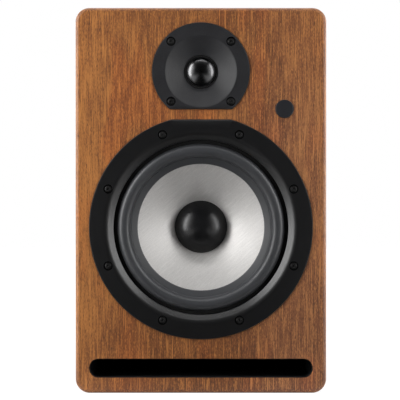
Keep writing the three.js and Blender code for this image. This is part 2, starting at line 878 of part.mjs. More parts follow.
// The cloth spider: a flange on its ring, then concentric waves in to the former.
function wooferSpider() {
  const inner = formerOuterRadius + fitGap;
  const waveOuter = spiderOuterRadius - spiderFlange;
  const count = 2 * spiderWaves;
  const span = (waveOuter - inner) / count;
  const seat = spiderShelf - spiderThickness;
  const front = Array.from({ length: count + 1 }, (_, i) => [
    waveOuter - span * i,
    i === 0 || i === count ? seat : seat + (i % 2 ? -spiderWave : spiderWave),
  ]);
  const back = front.map(([radius, depth]) => [radius, depth + spiderThickness]).reverse();
  const flange = [
    [spiderOuterRadius, spiderShelf],
    [spiderOuterRadius, seat],
  ];
  return turned([...flange, ...front, ...back], hiddenSteps);
}

// The pole piece and back plate in one, with a vent through them.
function yoke(pole, vent, radius, front, seat, thickness) {
  return turned(
    [
      [vent, front],
      [pole, front],
      [pole, seat],
      [radius, seat],
      [radius, seat + thickness - yokeChamfer],
      [radius - yokeChamfer, seat + thickness],
      [vent, seat + thickness],
    ],
    hiddenSteps,
  );
}

// Two blade tabs side by side that stand out of a face at a depth, centred on a height.
function bladeTabs(face, height) {
  const tab = (x) =>
    block(
      x - tabWidth / 2,
      x + tabWidth / 2,
      face - tabRoot,
      face + tabLength,
      height - tabThickness / 2,
      height + tabThickness / 2,
    );
  return joined(tab(-tabSpacing / 2), tab(tabSpacing / 2));
}

// A strip on the back of the spider ring with two blade tabs.
function terminalStrip() {
  const face = stripFace - stripThickness;
  const half = stripWidth / 2;
  const plate = block(-half, half, face, stripFace, stripBottom, stripBottom + stripLength);
  return joined(plate, bladeTabs(stripFace, stripTab));
}

function woofer() {
  const group = new THREE.Group();
  group.position.z = wooferHeight;
  const coilMiddle = basketFoot + topPlateThickness / 2;
  const coilBack = coilMiddle + coilLength / 2;
  const capFoot = coneDepthAt(capRadius) - fitGap;
  group.add(
    piece("woofer_basket", wooferBasket(), finishes.castFrame),
    piece(
      "woofer_gasket",
      ring(wooferCutout, wooferCutout + gasketWidth, frameBack, frameBack + gasketThickness, ringSteps),
      finishes.foam,
    ),
    piece("woofer_surround", wooferSurround(), finishes.rubber),
    piece("woofer_cone", wooferCone(), finishes.cone),
    piece("woofer_dust_cap", crown(capRadius, capHeight, capThickness, capRim, capFoot), finishes.cap),
    piece(
      "voice_coil_former",
      ring(
        formerInnerRadius,
        formerOuterRadius,
        coneNeck - formerAboveNeck,
        coilBack + coilTail,
        hiddenSteps,
      ),
      finishes.former,
    ),
    piece(
      "voice_coil_winding",
      ring(coilInnerRadius, coilOuterRadius, coilBack - coilLength, coilBack, hiddenSteps),
      finishes.copper,
    ),
    piece("woofer_spider", wooferSpider(), finishes.cloth),
    piece(
      "woofer_top_plate",
      ring(airGapRadius, topPlateRadius, basketFoot, topPlateBack, hiddenSteps),
      finishes.steel,
    ),
    piece(
      "woofer_magnet",
      ring(magnetBore, magnetRadius, topPlateBack, magnetBack, hiddenSteps),
      finishes.ferrite,
    ),
    piece(
      "woofer_yoke",
      yoke(poleRadius, ventRadius, topPlateRadius, basketFoot - poleProud, magnetBack, yokeThickness),
      finishes.steel,
    ),
    piece("woofer_terminal_strip", terminalStrip(), finishes.former),
  );
  const screw = screwSolid(screwLength);
  wooferScrewPlaces.forEach(({ x, z }, i) => {
    const mesh = piece(`woofer_screw_${i + 1}`, screw, finishes.screw);
    mesh.position.set(x, frameFront + screwSink, z);
    group.add(mesh);
  });
  return group;
}

// ---------------------------------------------------------------------------------------------------
// Tweeter, built about its own axis

function tweeterFaceplate() {
  return cut(
    turned(
      [
        [plateRadius, plateBack],
        [plateRadius, plateFront + plateChamfer],
        [plateRadius - plateChamfer, plateFront],
        ...bowed([hornRadius, plateFront], [throatRadius, throat], hornHollow, archSteps),
        [throatRadius, bossBack],
        [bossRadius, bossBack],
        [bossRadius, plateBack],
      ],
      plateSteps,
    ),
    block(-plateRadius, plateRadius, plateFront - past, plateBack + past, -plateRadius - past, -plateFlat),
    ...tweeterScrewPlaces.map(({ x, z }) => screwWell(x, z, plateFront, plateBack)),
  );
}

// The dome's surround: a small half roll with a flange held between the plate and the magnet.
function tweeterSurround() {
  const outer = throatRadius - fitGap / 2;
  const inner = domeRadius + fitGap;
  const middle = (outer + inner) / 2;
  const half = (outer - inner) / 2;
  const inside = half - domeRollThickness;
  return turned(
    [
      [outer + domeFlange, tweeterPlateFront],
      [outer + domeFlange, bossBack],
      ...arc(middle, bossBack, half, half, 0, 180, smallArchSteps),
      [inner, tweeterPlateFront],
      ...arc(middle, tweeterPlateFront, inside, inside, 180, 0, smallInnerArchSteps),
    ],
    domeSteps,
  );
}

// The sealed chamber behind the magnet, open towards the pole's vent, with two blade tabs.
function rearChamber() {
  const back = tweeterYokeBack + chamberDepth;
  const shell = turned(
    [
      [0, back - chamberWall],
      [chamberRadius - chamberWall, back - chamberWall],
      [chamberRadius - chamberWall, tweeterYokeBack],
      [chamberRadius, tweeterYokeBack],
      [chamberRadius, back - chamberWall],
      [chamberRadius - chamberWall, back],
      [0, back],
    ],
    hiddenSteps,
  );
  return joined(shell, bladeTabs(back, 0));
}

function tweeter() {
  const group = new THREE.Group();
  group.position.z = tweeterHeight;
  const coilOuter = tweeterPoleRadius + magneticClearance + tweeterCoilWall;
  const domeFoot = tweeterPlateFront;
  group.add(
    piece("tweeter_faceplate", tweeterFaceplate(), finishes.plate),
    piece("tweeter_dome", crown(domeRadius, domeHeight, domeThickness, fitGap, domeFoot), finishes.dome),
    piece("tweeter_surround", tweeterSurround(), finishes.domeRoll),
    piece(
      "tweeter_coil",
      ring(
        coilOuter - tweeterCoilWall,
        coilOuter,
        domeFoot + fitGap,
        domeFoot + fitGap + tweeterCoilLength,
        hiddenSteps,
      ),
      finishes.copper,
    ),
    piece(
      "tweeter_top_plate",
      ring(
        coilOuter + magneticClearance,
        tweeterPlateRadius,
        tweeterPlateFront,
        tweeterPlateBack,
        hiddenSteps,
      ),
      finishes.steel,
    ),
    piece(
      "tweeter_magnet",
      ring(tweeterMagnetBore, tweeterMagnetRadius, tweeterPlateBack, tweeterMagnetBack, hiddenSteps),
      finishes.ferrite,
    ),
    piece(
      "tweeter_yoke",
      yoke(
        tweeterPoleRadius,
        tweeterVentRadius,
        tweeterPlateRadius,
        tweeterPlateFront,
        tweeterMagnetBack,
        tweeterYokeThickness,
      ),
      finishes.steel,
    ),
    piece("tweeter_rear_chamber", rearChamber(), finishes.plastic),
  );
  const screw = screwSolid(screwLength);
  tweeterScrewPlaces.forEach(({ x, z }, i) => {
    const mesh = piece(`tweeter_screw_${i + 1}`, screw, finishes.screw);
    mesh.position.set(x, plateFront + screwSink, z);
    group.add(mesh);
  });
  return group;
}

// ---------------------------------------------------------------------------------------------------
// Terminal cup and its binding posts

// The outline of the recess, its flange or its shell, at a depth, grown by some width all round.
function cupSection(grow, depth) {
  const inset = (cupTaper * (cupFace - depth)) / cupDepth - grow;
  return {
    shape: roundedRectangle(
      cupWidth - 2 * cupBorder - 2 * inset,
      cupTall - 2 * cupBorder - 2 * inset,
      cupMouthCorner,
      0,
      cupHeight,
    ),
    depth,
  };
}

function terminalCup() {
  const flange = roundedRectangle(cupWidth, cupTall, cupCorner, 0, cupHeight);
  const postHole = disc(postRadius + pilotGap, cupFloorBack - past, cupFloorFace + past, postSteps);
  return cut(
    joined(
      slab(flange, rearFace, cupFace),
      lofted([cupSection(cupWall, cupFloorBack), cupSection(cupWall, rearFace + past)]),
    ),
    lofted([cupSection(0, cupFloorFace), cupSection(0, cupFace + past)]),
    ...Object.values(postPlaces).map((x) => postHole.translate([x, 0, cupHeight])),
    ...cupScrewPlaces.map(({ x, z }) => screwWell(x, z, cupFace, rearFace, -1)),
  );
}

// The post: a socket for a plug, a hole across it for bare wire, a collar and a hexagonal nut behind.
function postStud() {
  const tail = cupFloorBack - postTail;
  const shaft = turned(
    [
      [0, tail],
      [postRadius, tail],
      [postRadius, cupFloorFace],
      [postCollarRadius, cupFloorFace],
      [postCollarRadius, collarFace],
      [postRadius, collarFace],
      [postRadius, postTip],
      [postSocketRadius, postTip],
      [postSocketRadius, postTip - postSocketDepth],
      [0, postTip - postSocketDepth],
    ],
    postSteps,
  );
  const wireHole = disc(postWireHoleRadius, -postRadius - past, postRadius + past, screwSteps)
    .rotate([0, 0, 90])
    .translate([0, collarFace + postWireHoleRise, 0]);
  return cut(
    joined(shaft, disc(postBackNutRadius, cupFloorBack - postBackNutHeight, cupFloorBack, 6)),
    wireHole,
  );
}

// The nut that clamps a wire: a fluted grip on a plain collar.
function postNut() {
  const points = 4 * nutFlutes;
  const outline = Array.from({ length: points }, (_, i) => {
    const angle = (2 * Math.PI * i) / points;
    const radius = nutRadius - (nutFluteDepth / 2) * (1 - Math.cos(nutFlutes * angle));
    return new THREE.Vector2(radius * Math.cos(angle), radius * Math.sin(angle));
  });
  return cut(
    joined(
      slab(new THREE.Shape(outline), nutFace + nutCollarLength, nutFace + nutLength),
      disc(nutRadius, nutFace, nutFace + nutCollarLength, domeSteps),
    ),
    disc(postRadius + pilotGap, nutFace - past, nutFace + nutLength + past, postSteps),
  );
}

function terminals() {
  const group = new THREE.Group();
  group.add(piece("terminal_cup", terminalCup(), finishes.plastic));
  const screw = screwSolid(cupScrewLength);
  cupScrewPlaces.forEach(({ x, z }, i) => {
    const mesh = piece(`terminal_screw_${i + 1}`, screw, finishes.screw);
    mesh.position.set(x, cupFace - screwSink, z);
    mesh.rotation.z = Math.PI;
    group.add(mesh);
  });
  const stud = postStud();
  const washer = ring(postRadius + pilotGap, washerRadius, collarFace + fitGap, washerFace, postSteps);
  const nut = postNut();
  for (const [colour, x] of Object.entries(postPlaces)) {
    const post = new THREE.Group();
    post.position.set(x, 0, cupHeight);
    post.add(
      piece(`post_stud_${colour}`, stud, finishes.gold),
      piece(`post_washer_${colour}`, washer, finishes.gold),
      piece(`post_nut_${colour}`, nut, finishes[`${colour}Plastic`]),
    );
    group.add(post);
  }
  return group;
}

// ---------------------------------------------------------------------------------------------------
// Crossover: a board on four standoffs behind the cup's height, with its parts towards the front

function crossoverBoard() {
  const [half, bottom, top] = [boardWidth / 2, boardBottom, boardBottom + boardTall];
  const standoff = disc(standoffRadius, boardBack, rearPanelFront, screwSteps);
  const standoffs = [standoffInset - half, half - standoffInset].flatMap((x) =>
    [bottom + standoffInset, top - standoffInset].map((z) => standoff.translate([x, 0, z])),
  );
  return joined(block(-half, half, boardFront, boardBack, bottom, top), ...standoffs);
}

const inductor = (bore, radius, height) => ring(bore, radius, boardFront - height, boardFront, hiddenSteps);

function crossover() {
  const group = new THREE.Group();
  const half = boardWidth / 2 - partMargin;
  const top = boardBottom + boardTall - partMargin;
  const large = piece(
    "crossover_coil_large",
    inductor(inductorBore, inductorRadius, inductorHeight),
    finishes.copper,
  );
  large.position.set(inductorRadius - half, 0, top - inductorRadius);
  const small = piece(
    "crossover_coil_small",
    inductor(smallInductorBore, smallInductorRadius, smallInductorHeight),
    finishes.copper,
  );
  small.position.set(half - smallInductorRadius, 0, top - smallInductorRadius);
  const can = disc(capacitorRadius, -capacitorLength / 2, capacitorLength / 2, hiddenSteps);
  const capacitor = piece("crossover_capacitor", can.rotate([0, 0, 90]), finishes.film);
  capacitor.position.set(
    half - capacitorLength / 2,
    boardFront - capacitorRadius - fitGap,
    boardBottom + standoffInset + standoffRadius + partMargin + capacitorRadius,
  );
  group.add(piece("crossover_board", crossoverBoard(), finishes.laminate), large, small, capacitor);
  return group;
}

// ---------------------------------------------------------------------------------------------------
// Internal leads: a sheath that parts into two cores at the terminals

// A closed tube along the smooth curve through some points.
function tube(points, radius) {
  const curve = new THREE.CatmullRomCurve3(points.map((p) => new THREE.Vector3(...p)));
  const section = new THREE.Shape(
    Array.from({ length: leadSides }, (_, i) => {
      const angle = (2 * Math.PI * i) / leadSides;
      return new THREE.Vector2(radius * Math.cos(angle), radius * Math.sin(angle));
    }),
  );
  const steps = points.length + 1;
  return solidOf(new THREE.ExtrudeGeometry(section, { steps, bevelEnabled: false, extrudePath: curve }));
}

// Points on the way from one place to another, each at its own shares of the distance in X, Y and Z.
function waypoints(from, to, shares) {
  return shares.map((share) => from.map((start, axis) => start + (to[axis] - start) * share[axis]));
}

// A lead whose two cores leave terminals a spacing apart about a place, forwards or backwards along Y,
// and gather into the sheath, which runs on past its waypoints to a pad.
function lead(name, from, spacing, along, pad, shares) {
  const [x, y, z] = from;
  const gathered = y + along * legGather;
  const parting = y + along * legGather * 0.4;
  const bound = y + along * legGather * 1.3;
  const cores = [-1, 1].map((side) => {
    const [apart, together] = [x + (side * spacing) / 2, x + (side * legRadius) / 2];
    const points = [
      [apart, y, z],
      [apart, parting, z],
      [together, gathered, z],
      [together, bound, z],
    ];
    return tube(points, legRadius);
  });
  const straight = [x, y + along * legGather * 1.6, z];
  const route = [[x, gathered, z], straight, ...waypoints(from, pad, shares), pad];
  return piece(name, joined(tube(route, leadRadius), ...cores), finishes.leadJacket);
}

// The leads from the drivers hang through the window of the brace. The one from the cup loops forwards.
function leads() {
  const group = new THREE.Group();
  const pads = boardFront - fitGap;
  const low = boardBottom + padRise;
  const postEnd = cupFloorBack - postTail - fitGap;
  const stripEnd = stripFace + tabLength + fitGap;
  const chamberEnd = tweeterYokeBack + chamberDepth + tabLength + fitGap;
  const hanging = [
    [0.3, 0.2, 0.25],
    [0.7, 0.48, 0.6],
    [1, 0.89, 0.94],
    [1, 0.945, 1],
  ];
  const looping = [
    [0.5, -1.1, 0.36],
    [1, -0.34, 0.89],
    [1, 0.27, 1],
  ];
  group.add(
    lead("lead_input", [0, postEnd, cupHeight], postSpacing, -1, [inputPad, pads, low], looping),
    lead(
      "lead_woofer",
      [0, stripEnd, wooferHeight + stripTab],
      tabSpacing,
      1,
      [wooferPad, pads, low],
      hanging,
    ),
    lead(
      "lead_tweeter",
      [0, chamberEnd, tweeterHeight],
      tabSpacing,
      1,
      [tweeterPad, pads, boardCentre],
      hanging,
    ),
  );
  return group;
}

// ---------------------------------------------------------------------------------------------------
// The whole speaker

const speaker = new THREE.Group();
speaker.add(box(), badge(), woofer(), tweeter(), terminals(), crossover(), leads());
const frontMost = Math.min(frameFront, plateFront, -badgeProud);
speaker.position.y = -(cabinetDepth + frontMost) / 2;

export default speaker;
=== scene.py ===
"""Looks of a two-way bookshelf loudspeaker: a veneered box with a slot port, a silver cone woofer, a dome
tweeter in a shallow waveguide and a terminal cup behind. Lengths are in metres, except where a function
says millimetres. The box's front face is at the depth FRONT, +Y goes into the box and +Z is up."""
import json
import math
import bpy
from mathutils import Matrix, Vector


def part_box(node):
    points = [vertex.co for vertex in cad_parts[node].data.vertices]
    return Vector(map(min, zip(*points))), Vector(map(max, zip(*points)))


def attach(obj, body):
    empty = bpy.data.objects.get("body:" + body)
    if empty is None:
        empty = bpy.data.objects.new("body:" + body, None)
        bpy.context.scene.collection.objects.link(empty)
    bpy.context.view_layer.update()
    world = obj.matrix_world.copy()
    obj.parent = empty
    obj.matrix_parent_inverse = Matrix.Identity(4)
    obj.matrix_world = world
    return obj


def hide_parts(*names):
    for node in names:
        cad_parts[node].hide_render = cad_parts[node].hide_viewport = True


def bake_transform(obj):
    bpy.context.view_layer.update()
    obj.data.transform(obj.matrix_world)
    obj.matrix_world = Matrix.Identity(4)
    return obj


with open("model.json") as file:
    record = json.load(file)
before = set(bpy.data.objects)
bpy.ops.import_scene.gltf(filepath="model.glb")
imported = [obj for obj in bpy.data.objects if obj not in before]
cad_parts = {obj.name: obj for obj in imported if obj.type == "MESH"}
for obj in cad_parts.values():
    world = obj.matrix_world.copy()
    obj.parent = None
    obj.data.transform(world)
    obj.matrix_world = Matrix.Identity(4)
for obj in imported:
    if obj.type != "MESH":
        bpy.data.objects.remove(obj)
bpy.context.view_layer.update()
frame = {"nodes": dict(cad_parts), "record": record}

from types import SimpleNamespace

import bmesh
import bpy
from bpy.props import FloatProperty, FloatVectorProperty, PointerProperty
from mathutils import Matrix, Vector

bl_info = {
    "name": "Bookshelf loudspeaker",
    "version": (1, 0, 0),
    "blender": (4, 5, 0),
    "location": "3D View > Sidebar > Speaker",
    "description": "Models and finishes a two-way bookshelf loudspeaker around its packed frame",
    "category": "Object",
}

MM = 0.001
TURN = math.tau
HAIR = 0.01 * MM  # within this a point lies on a plane
FIT_GAP = 0.3 * MM  # between round pieces that fit into each other
PAST = 5 * MM  # how far the baffle's cutters start in front of it
THROUGH = 30 * MM  # how far they reach behind its face
ROUND = 192  # steps of the woofer's large round pieces
SHARP = 35  # degrees between faces that meet in a sharp edge
BOX_SHARP = 40  # the same, on the box
SLOT_OF = {part["node"]: part["material_slot"] for part in frame["record"]["subparts"]}

# Places that the frame gives: each is (lowest corner, highest corner).
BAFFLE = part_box("front_baffle")
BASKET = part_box("woofer_basket")
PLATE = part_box("tweeter_faceplate")
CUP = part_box("terminal_cup")
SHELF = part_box("port_shelf")
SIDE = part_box("side_panel_right")
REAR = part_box("rear_panel")
FRONT = BAFFLE[0].y
BACK = SIDE[1].y
HEIGHT = BAFFLE[1].z
WIDTH = BAFFLE[1].x - BAFFLE[0].x


def middle(node):
    """The middle of a node's box."""
    low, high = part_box(node)
    return (low + high) / 2


def radius_of(node):
    """Half of a round node's width."""
    low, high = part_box(node)
    return (high.x - low.x) / 2


WOOFER_Z = middle("woofer_magnet").z
TWEETER_Z = middle("tweeter_magnet").z
CUP_Z = middle("terminal_cup").z
WOOFER_FLAT = BASKET[1].z - WOOFER_Z
TWEETER_FLAT = TWEETER_Z - PLATE[0].z

# The baffle, its seats for the drivers and the badge, and the screws.
JOINT_CHAMFER = 0.25 * MM  # where the baffle meets the box behind it
BADGE_GAP = 0.2 * MM
BADGE_HOLE_DEPTH = 1.2 * MM
WOOFER_SEAT_DEPTH = 4.8 * MM
TWEETER_SEAT_DEPTH = 2.8 * MM
WOOFER_HOLE_RADIUS = 93 * MM
TWEETER_HOLE_RADIUS = 36 * MM
WELL_RADIUS = 4.2 * MM  # of a screw's counterbore
WELL_FLARE = 0.35 * MM  # how much wider it is at its mouth
WELL_BOTTOM = 1.0 * MM  # how far behind the baffle's front the drivers' counterbores end
CUP_WELL_DEPTH = 2.2 * MM
SCREW_LENGTH = 15 * MM
SHORT_SCREW_LENGTH = 11 * MM
ODD_TURN = 37  # degrees, which spreads the turns of the screws' recesses

# Thicknesses and gaps of the drivers' pieces.
FRAME_THICKNESS = 5 * MM
LEDGE_DROP = 2.2 * MM  # from the foot of the frame's inner edge to the ledge under the surround
LEDGE_THICKNESS = 2.5 * MM
TUB_WALL = 4.2 * MM
PLATE_THICKNESS = 4 * MM
ROLL_INSET = 3.8 * MM  # from the frame's inner edge to the roll
ROLL_THICKNESS = 0.9 * MM
CONE_SETBACK = 0.9 * MM  # from the ledge back to the cone's edge
CONE_THICKNESS = 1.2 * MM
CAP_THICKNESS = 0.9 * MM
DOME_THICKNESS = 0.5 * MM

# The terminal cup and its posts.
CUP_WALL = 2.2 * MM
CUP_TAPER = 4 * MM  # how far its walls lean in
RECESS_CORNER = 8 * MM
POST_HOLE_RADIUS = 3.25 * MM  # through the cup, the washers and the nuts
POST_COLLAR_LENGTH = 5 * MM
WIRE_HOLE_RADIUS = 1.3 * MM
POST_COLOURS = ("red", "black")


# ---------------------------------------------------------------------------------------------------
# Settings


def length(name, description, default):
    """A setting that is a length in metres."""
    return FloatProperty(
        name=name, description=description, default=default, min=0.0, precision=5,
        unit="LENGTH", subtype="DISTANCE",
    )


def share(name, description, default, top=1.0):
    """A setting that is a plain number from 0 up."""
    return FloatProperty(name=name, description=description, default=default, min=0.0, max=top)


def colour(name, description, default):
    """A setting that is a linear colour."""
    return FloatVectorProperty(
        name=name, description=description, default=default, size=3, min=0.0, max=1.0, subtype="COLOR",
    )


class CabinetSettings(bpy.types.PropertyGroup):
    """Sizes and finishes of the box."""

    corner_radius: length("Corner radius", "Of the box, seen from the front", 14 * MM)
    edge_radius: length("Front roundover", "Along the baffle's front edge", 4.2 * MM)
    rear_edge: length("Rear easing", "Of the sides' rear edges", 0.8 * MM)
    wall: length("Wall", "Thickness of the sides, top and bottom", SIDE[1].x - SHELF[1].x)
    slot_height: length("Slot height", "Of the port's mouth", 18 * MM)
    slot_margin: length("Slot margin", "Wood at each end of the slot", 14 * MM)
    slot_lip: length("Slot lip", "Chamfer round the slot's mouth", 0.5 * MM)
    rebate_gap: length("Rebate gap", "Round each driver's flange", 0.35 * MM)
    veneer_light: colour("Veneer, light", "Pale streaks of the veneer", (0.50, 0.205, 0.058))
    veneer_middle: colour("Veneer, middle", "Main tone of the veneer", (0.24, 0.09, 0.032))
    veneer_dark: colour("Veneer, dark", "Dark streaks of the veneer", (0.08, 0.03, 0.016))
    # Partly painted light: the veneer lightens towards its sides, partly its leaves' own tone and partly
    # painted light.
    side_lightening: share("Leaf change", "How much lighter the veneer is towards its sides", 0.045)
    paint: colour("Rear paint", "Of the rear panel", (0.012, 0.012, 0.013))


class WooferSettings(bpy.types.PropertyGroup):
    """Sizes and finishes of the woofer."""

    frame_radius: length("Frame radius", "Of the cast frame's flange", radius_of("woofer_basket"))
    frame_face: length("Frame face", "Width of its flat face", 14.1 * MM)
    bevel_width: length("Inner edge width", "Of its rounded inner edge", 9.9 * MM)
    bevel_depth: length("Inner edge depth", "From its face to the foot of its inner edge", 8 * MM)
    bevel_curve: length("Inner edge curve", "Radius between its face and its inner slope", 9 * MM)
    bevel_slope: share("Inner edge slope", "Of its inner edge, in degrees", 36.0, 89.0)
    roll_width: length("Roll width", "Of the rubber surround's half roll", 13 * MM)
    surround_lap: length("Surround lap", "Of its inner flange on the cone", 7.1 * MM)
    cone_depth: length("Cone depth", "From its edge to its neck", 27.5 * MM)
    cone_bow: length("Cone bow", "Of its wall towards the listener", 1.2 * MM)
    cap_radius: length("Dust cap radius", "Of the cap's rim", radius_of("woofer_dust_cap"))
    cap_height: length("Dust cap height", "Of its crown above the rim", 14 * MM)
    frame_colour: colour("Frame", "Powder coat of the cast frame", (0.002, 0.002, 0.0024))
    rubber_colour: colour("Surround", "Rubber of the surround", (0.034, 0.036, 0.039))
    cone_colour: colour("Cone", "Fibre of the cone", (0.56, 0.547, 0.533))
    cap_colour: colour("Dust cap", "Of the dust cap", (0.002, 0.002, 0.0022))


class TweeterSettings(bpy.types.PropertyGroup):
    """Sizes and finishes of the tweeter."""

    plate_radius: length("Plate radius", "Of the moulded plate", radius_of("tweeter_faceplate"))
    horn_radius: length("Waveguide radius", "Of the waveguide's mouth", 35.8 * MM)
    throat_radius: length("Throat radius", "Of the waveguide's throat", 17 * MM)
    horn_depth: length("Waveguide depth", "From the plate's face to the throat", 10 * MM)
    dome_radius: length("Dome radius", "Of the dome's rim", radius_of("tweeter_dome"))
    dome_height: length("Dome height", "Of its round crown", 5.7 * MM)
    plate_colour: colour("Plate", "Moulded plate and waveguide", (0.010, 0.010, 0.011))
    dome_colour: colour("Dome", "Metal of the dome", (0.09, 0.09, 0.092))


class TerminalSettings(bpy.types.PropertyGroup):
    """Sizes and finishes of the terminal cup and its posts."""

    cup_corner: length("Cup corner", "Of the cup's flange", 9 * MM)
    cup_border: length("Cup border", "Flange outside the recess", 10 * MM)
    cup_depth: length("Cup depth", "Of the recess", 26 * MM)
    flute_radius: length("Flute radius", "Of the grooves along each nut", 1.0 * MM)
    plastic_colour: colour("Cup", "Moulded plastic of the cup", (0.018, 0.018, 0.019))
    red_colour: colour("Red nut", "Of the positive post", (0.42, 0.018, 0.016))
    black_colour: colour("Black nut", "Of the negative post", (0.016, 0.016, 0.017))
    gold_colour: colour("Gold plate", "Of the posts and washers", (0.83, 0.60, 0.27))


class StageSettings(bpy.types.PropertyGroup):
    """Camera, floor and lamps."""

    camera_distance: length("Camera distance", "From the lens to the baffle", 2.0)
    view_width: length("View width", "What the lens sees across at the baffle", 0.3983)
    camera_pitch: share("Camera pitch", "How far it looks down, in degrees", 0.6, 10.0)
    aim_height: length("Aim height", "Where the lens looks, above the floor", 0.1926)
    aim_side: length("Aim side", "Where the lens looks, left of the middle", 0.00095)
    left_power: share("Left softbox", "In watts", 10.0, 100.0)
    right_power: share("Right softbox", "In watts", 6.8, 100.0)
    fill_power: share("Front fills", "In watts", 1.1, 100.0)
    top_power: share("Top softbox", "In watts", 4.2, 100.0)
    edge_power: share("Edge lamps", "In watts", 4.2, 100.0)
    rear_power: share("Rear softbox", "In watts", 4.0, 100.0)
    ambient: share("Ambient", "Strength of the room's own light", 0.02)
    floor_colour: colour("Floor", "Pale floor", (0.86, 0.86, 0.86))
    floor_white: share("Floor white", "How far the floor shows plain white", 0.85)


# ---------------------------------------------------------------------------------------------------
# Modelling


def only(obj=None):
    """Leaves edit mode and makes this the one object that is selected."""
    if bpy.context.mode != "OBJECT":
        bpy.ops.object.mode_set(mode="OBJECT")
    bpy.ops.object.select_all(action="DESELECT")
    if obj:
        obj.select_set(True)
        bpy.context.view_layer.objects.active = obj


def edit(obj, kind="FACE"):
    """Opens an object's mesh with nothing selected."""
    only(obj)
    bpy.ops.object.mode_set(mode="EDIT")
    bpy.ops.mesh.select_mode(type=kind)
    bpy.ops.mesh.select_all(action="DESELECT")


def pick_edges(obj, test):
    """Selects the edges whose two ends pass the test."""
    mesh = bmesh.from_edit_mesh(obj.data)
    for edge in mesh.edges:
        if test(*[end.co for end in edge.verts]):
            edge.select_set(True)
    bmesh.update_edit_mesh(obj.data)


def pick_faces(obj, test):
    """Selects the faces whose middle and normal pass the test."""
    mesh = bmesh.from_edit_mesh(obj.data)
    for face in mesh.faces:
        if test(face.calc_center_median(), face.normal):
            face.select_set(True)
    bmesh.update_edit_mesh(obj.data)


def named(name):
    """The object just added, with its place in its mesh."""
    obj = bpy.context.object
    obj.name = name
    obj.data.name = name
    bpy.ops.object.transform_apply(location=True, rotation=True, scale=True)
    return obj


def tidy(obj, angle=30):
    """Joins doubles, turns faces outwards and shades the curves smooth."""
    edit(obj, "VERT")
    bpy.ops.mesh.select_all(action="SELECT")
    bpy.ops.mesh.remove_doubles(threshold=0.002 * MM)
    bpy.ops.mesh.normals_make_consistent(inside=False)
    only(obj)
    bpy.ops.object.shade_smooth_by_angle(angle=math.radians(angle))
    step = obj.modifiers.new("Even shading", "WEIGHTED_NORMAL")
    step.keep_sharp = True
    bpy.ops.object.modifier_apply(modifier=step.name)
    return obj


def turned(name, outline, x=0.0, z=0.0, steps=128):
    """A solid made by spinning a closed outline of (radius, depth) points about a line along Y. Depths
    count from the baffle's front face."""
    points = [Vector((x + radius, FRONT + depth, z)) for radius, depth in outline]
    if outline[0][0] or outline[-1][0]:
        points.append(points[0])
    only()
    bpy.ops.mesh.primitive_circle_add(vertices=3, radius=MM, location=points[0])
    obj = named(name)
    edit(obj, "VERT")
    bpy.ops.mesh.select_all(action="SELECT")
    bpy.ops.mesh.merge(type="CENTER")
    for start, end in zip(points, points[1:]):
        bpy.ops.mesh.extrude_vertices_move(TRANSFORM_OT_translate={"value": end - start})
    bpy.ops.mesh.select_all(action="SELECT")
    bpy.ops.mesh.spin(steps=steps, angle=TURN, center=(x, 0, z), axis=(0, 1, 0))
    return tidy(obj)


def block(name, low, high):
    """A plain block between two corners, as a tool or a start."""
    low, high = Vector(low), Vector(high)
    only()
    bpy.ops.mesh.primitive_cube_add(size=1, location=(low + high) / 2, scale=high - low)
    return named(name)


def slab(name, width, height, corner, front, back, x=0.0, z=0.0, segments=12):
    """A block along Y whose four long edges are rounded."""
    half = Vector((width / 2, 0, height / 2))
    obj = block(name, Vector((x, front, z)) - half, Vector((x, back, z)) + half)
    edit(obj, "EDGE")
    pick_edges(obj, lambda a, b: abs(a.y - b.y) > (back - front) / 2)
    bpy.ops.mesh.bevel(offset=corner, segments=segments, affect="EDGES")
    only(obj)
    return obj


def ease(obj, offset, test, segments=4):
    """Rounds the edges whose two ends pass the test."""
    edit(obj, "EDGE")
    pick_edges(obj, test)
    bpy.ops.mesh.bevel(offset=offset, segments=segments, affect="EDGES")
    only(obj)


def apply_boolean(body, tool, operation):
    """Applies one boolean of a tool on a body, and takes the tool away."""
    only(body)
    step = body.modifiers.new(operation.title(), "BOOLEAN")
    step.operation = operation
    step.solver = "EXACT"
    step.object = tool
    bpy.ops.object.modifier_apply(modifier=step.name)
    mesh = tool.data
    bpy.data.objects.remove(tool)
    bpy.data.meshes.remove(mesh)


def cut(body, *tools):
    """Cuts tools out of a body."""
    for tool in tools:
        apply_boolean(body, tool, "DIFFERENCE")


def fuse(body, other):
    """Joins two solids into one."""
    apply_boolean(body, other, "UNION")


def slice_off(obj, place, normal):
    """Cuts away what lies beyond a plane, on the side that its normal points to, and closes the cut."""
    edit(obj)
    bpy.ops.mesh.select_all(action="SELECT")
    bpy.ops.mesh.bisect(plane_co=place, plane_no=normal, clear_outer=True, use_fill=True)
    only(obj)


def cut_chord(body, face, height, side, chamfer):
    """Cuts a chord off a round flange, at its top (side 1) or bottom (side -1), and eases the new edge."""
    slice_off(body, (0, 0, height), (0, 0, side))
    slice_off(body, (0, FRONT + face, height - side * chamfer), (0, -1, side))


def scale_end(obj, side, value):
    """Scales the front end (side -1) or the back end (side 1) of a block about its middle."""
    edit(obj)
    pick_faces(obj, lambda at, normal: normal.y * side > 0.9)
    bpy.ops.transform.resize(value=value)
    only(obj)


def copied(obj, name, matrix):
    """A copy with its own mesh, moved by a matrix."""
    twin = bpy.data.objects.new(name, obj.data.copy())
    twin.data.name = name
    twin.data.transform(matrix)
    bpy.context.scene.collection.objects.link(twin)
    return twin


def drop(obj):
    """Takes away a pattern piece whose copies are in place."""
    mesh = obj.data
    bpy.data.objects.remove(obj)
    bpy.data.meshes.remove(mesh)


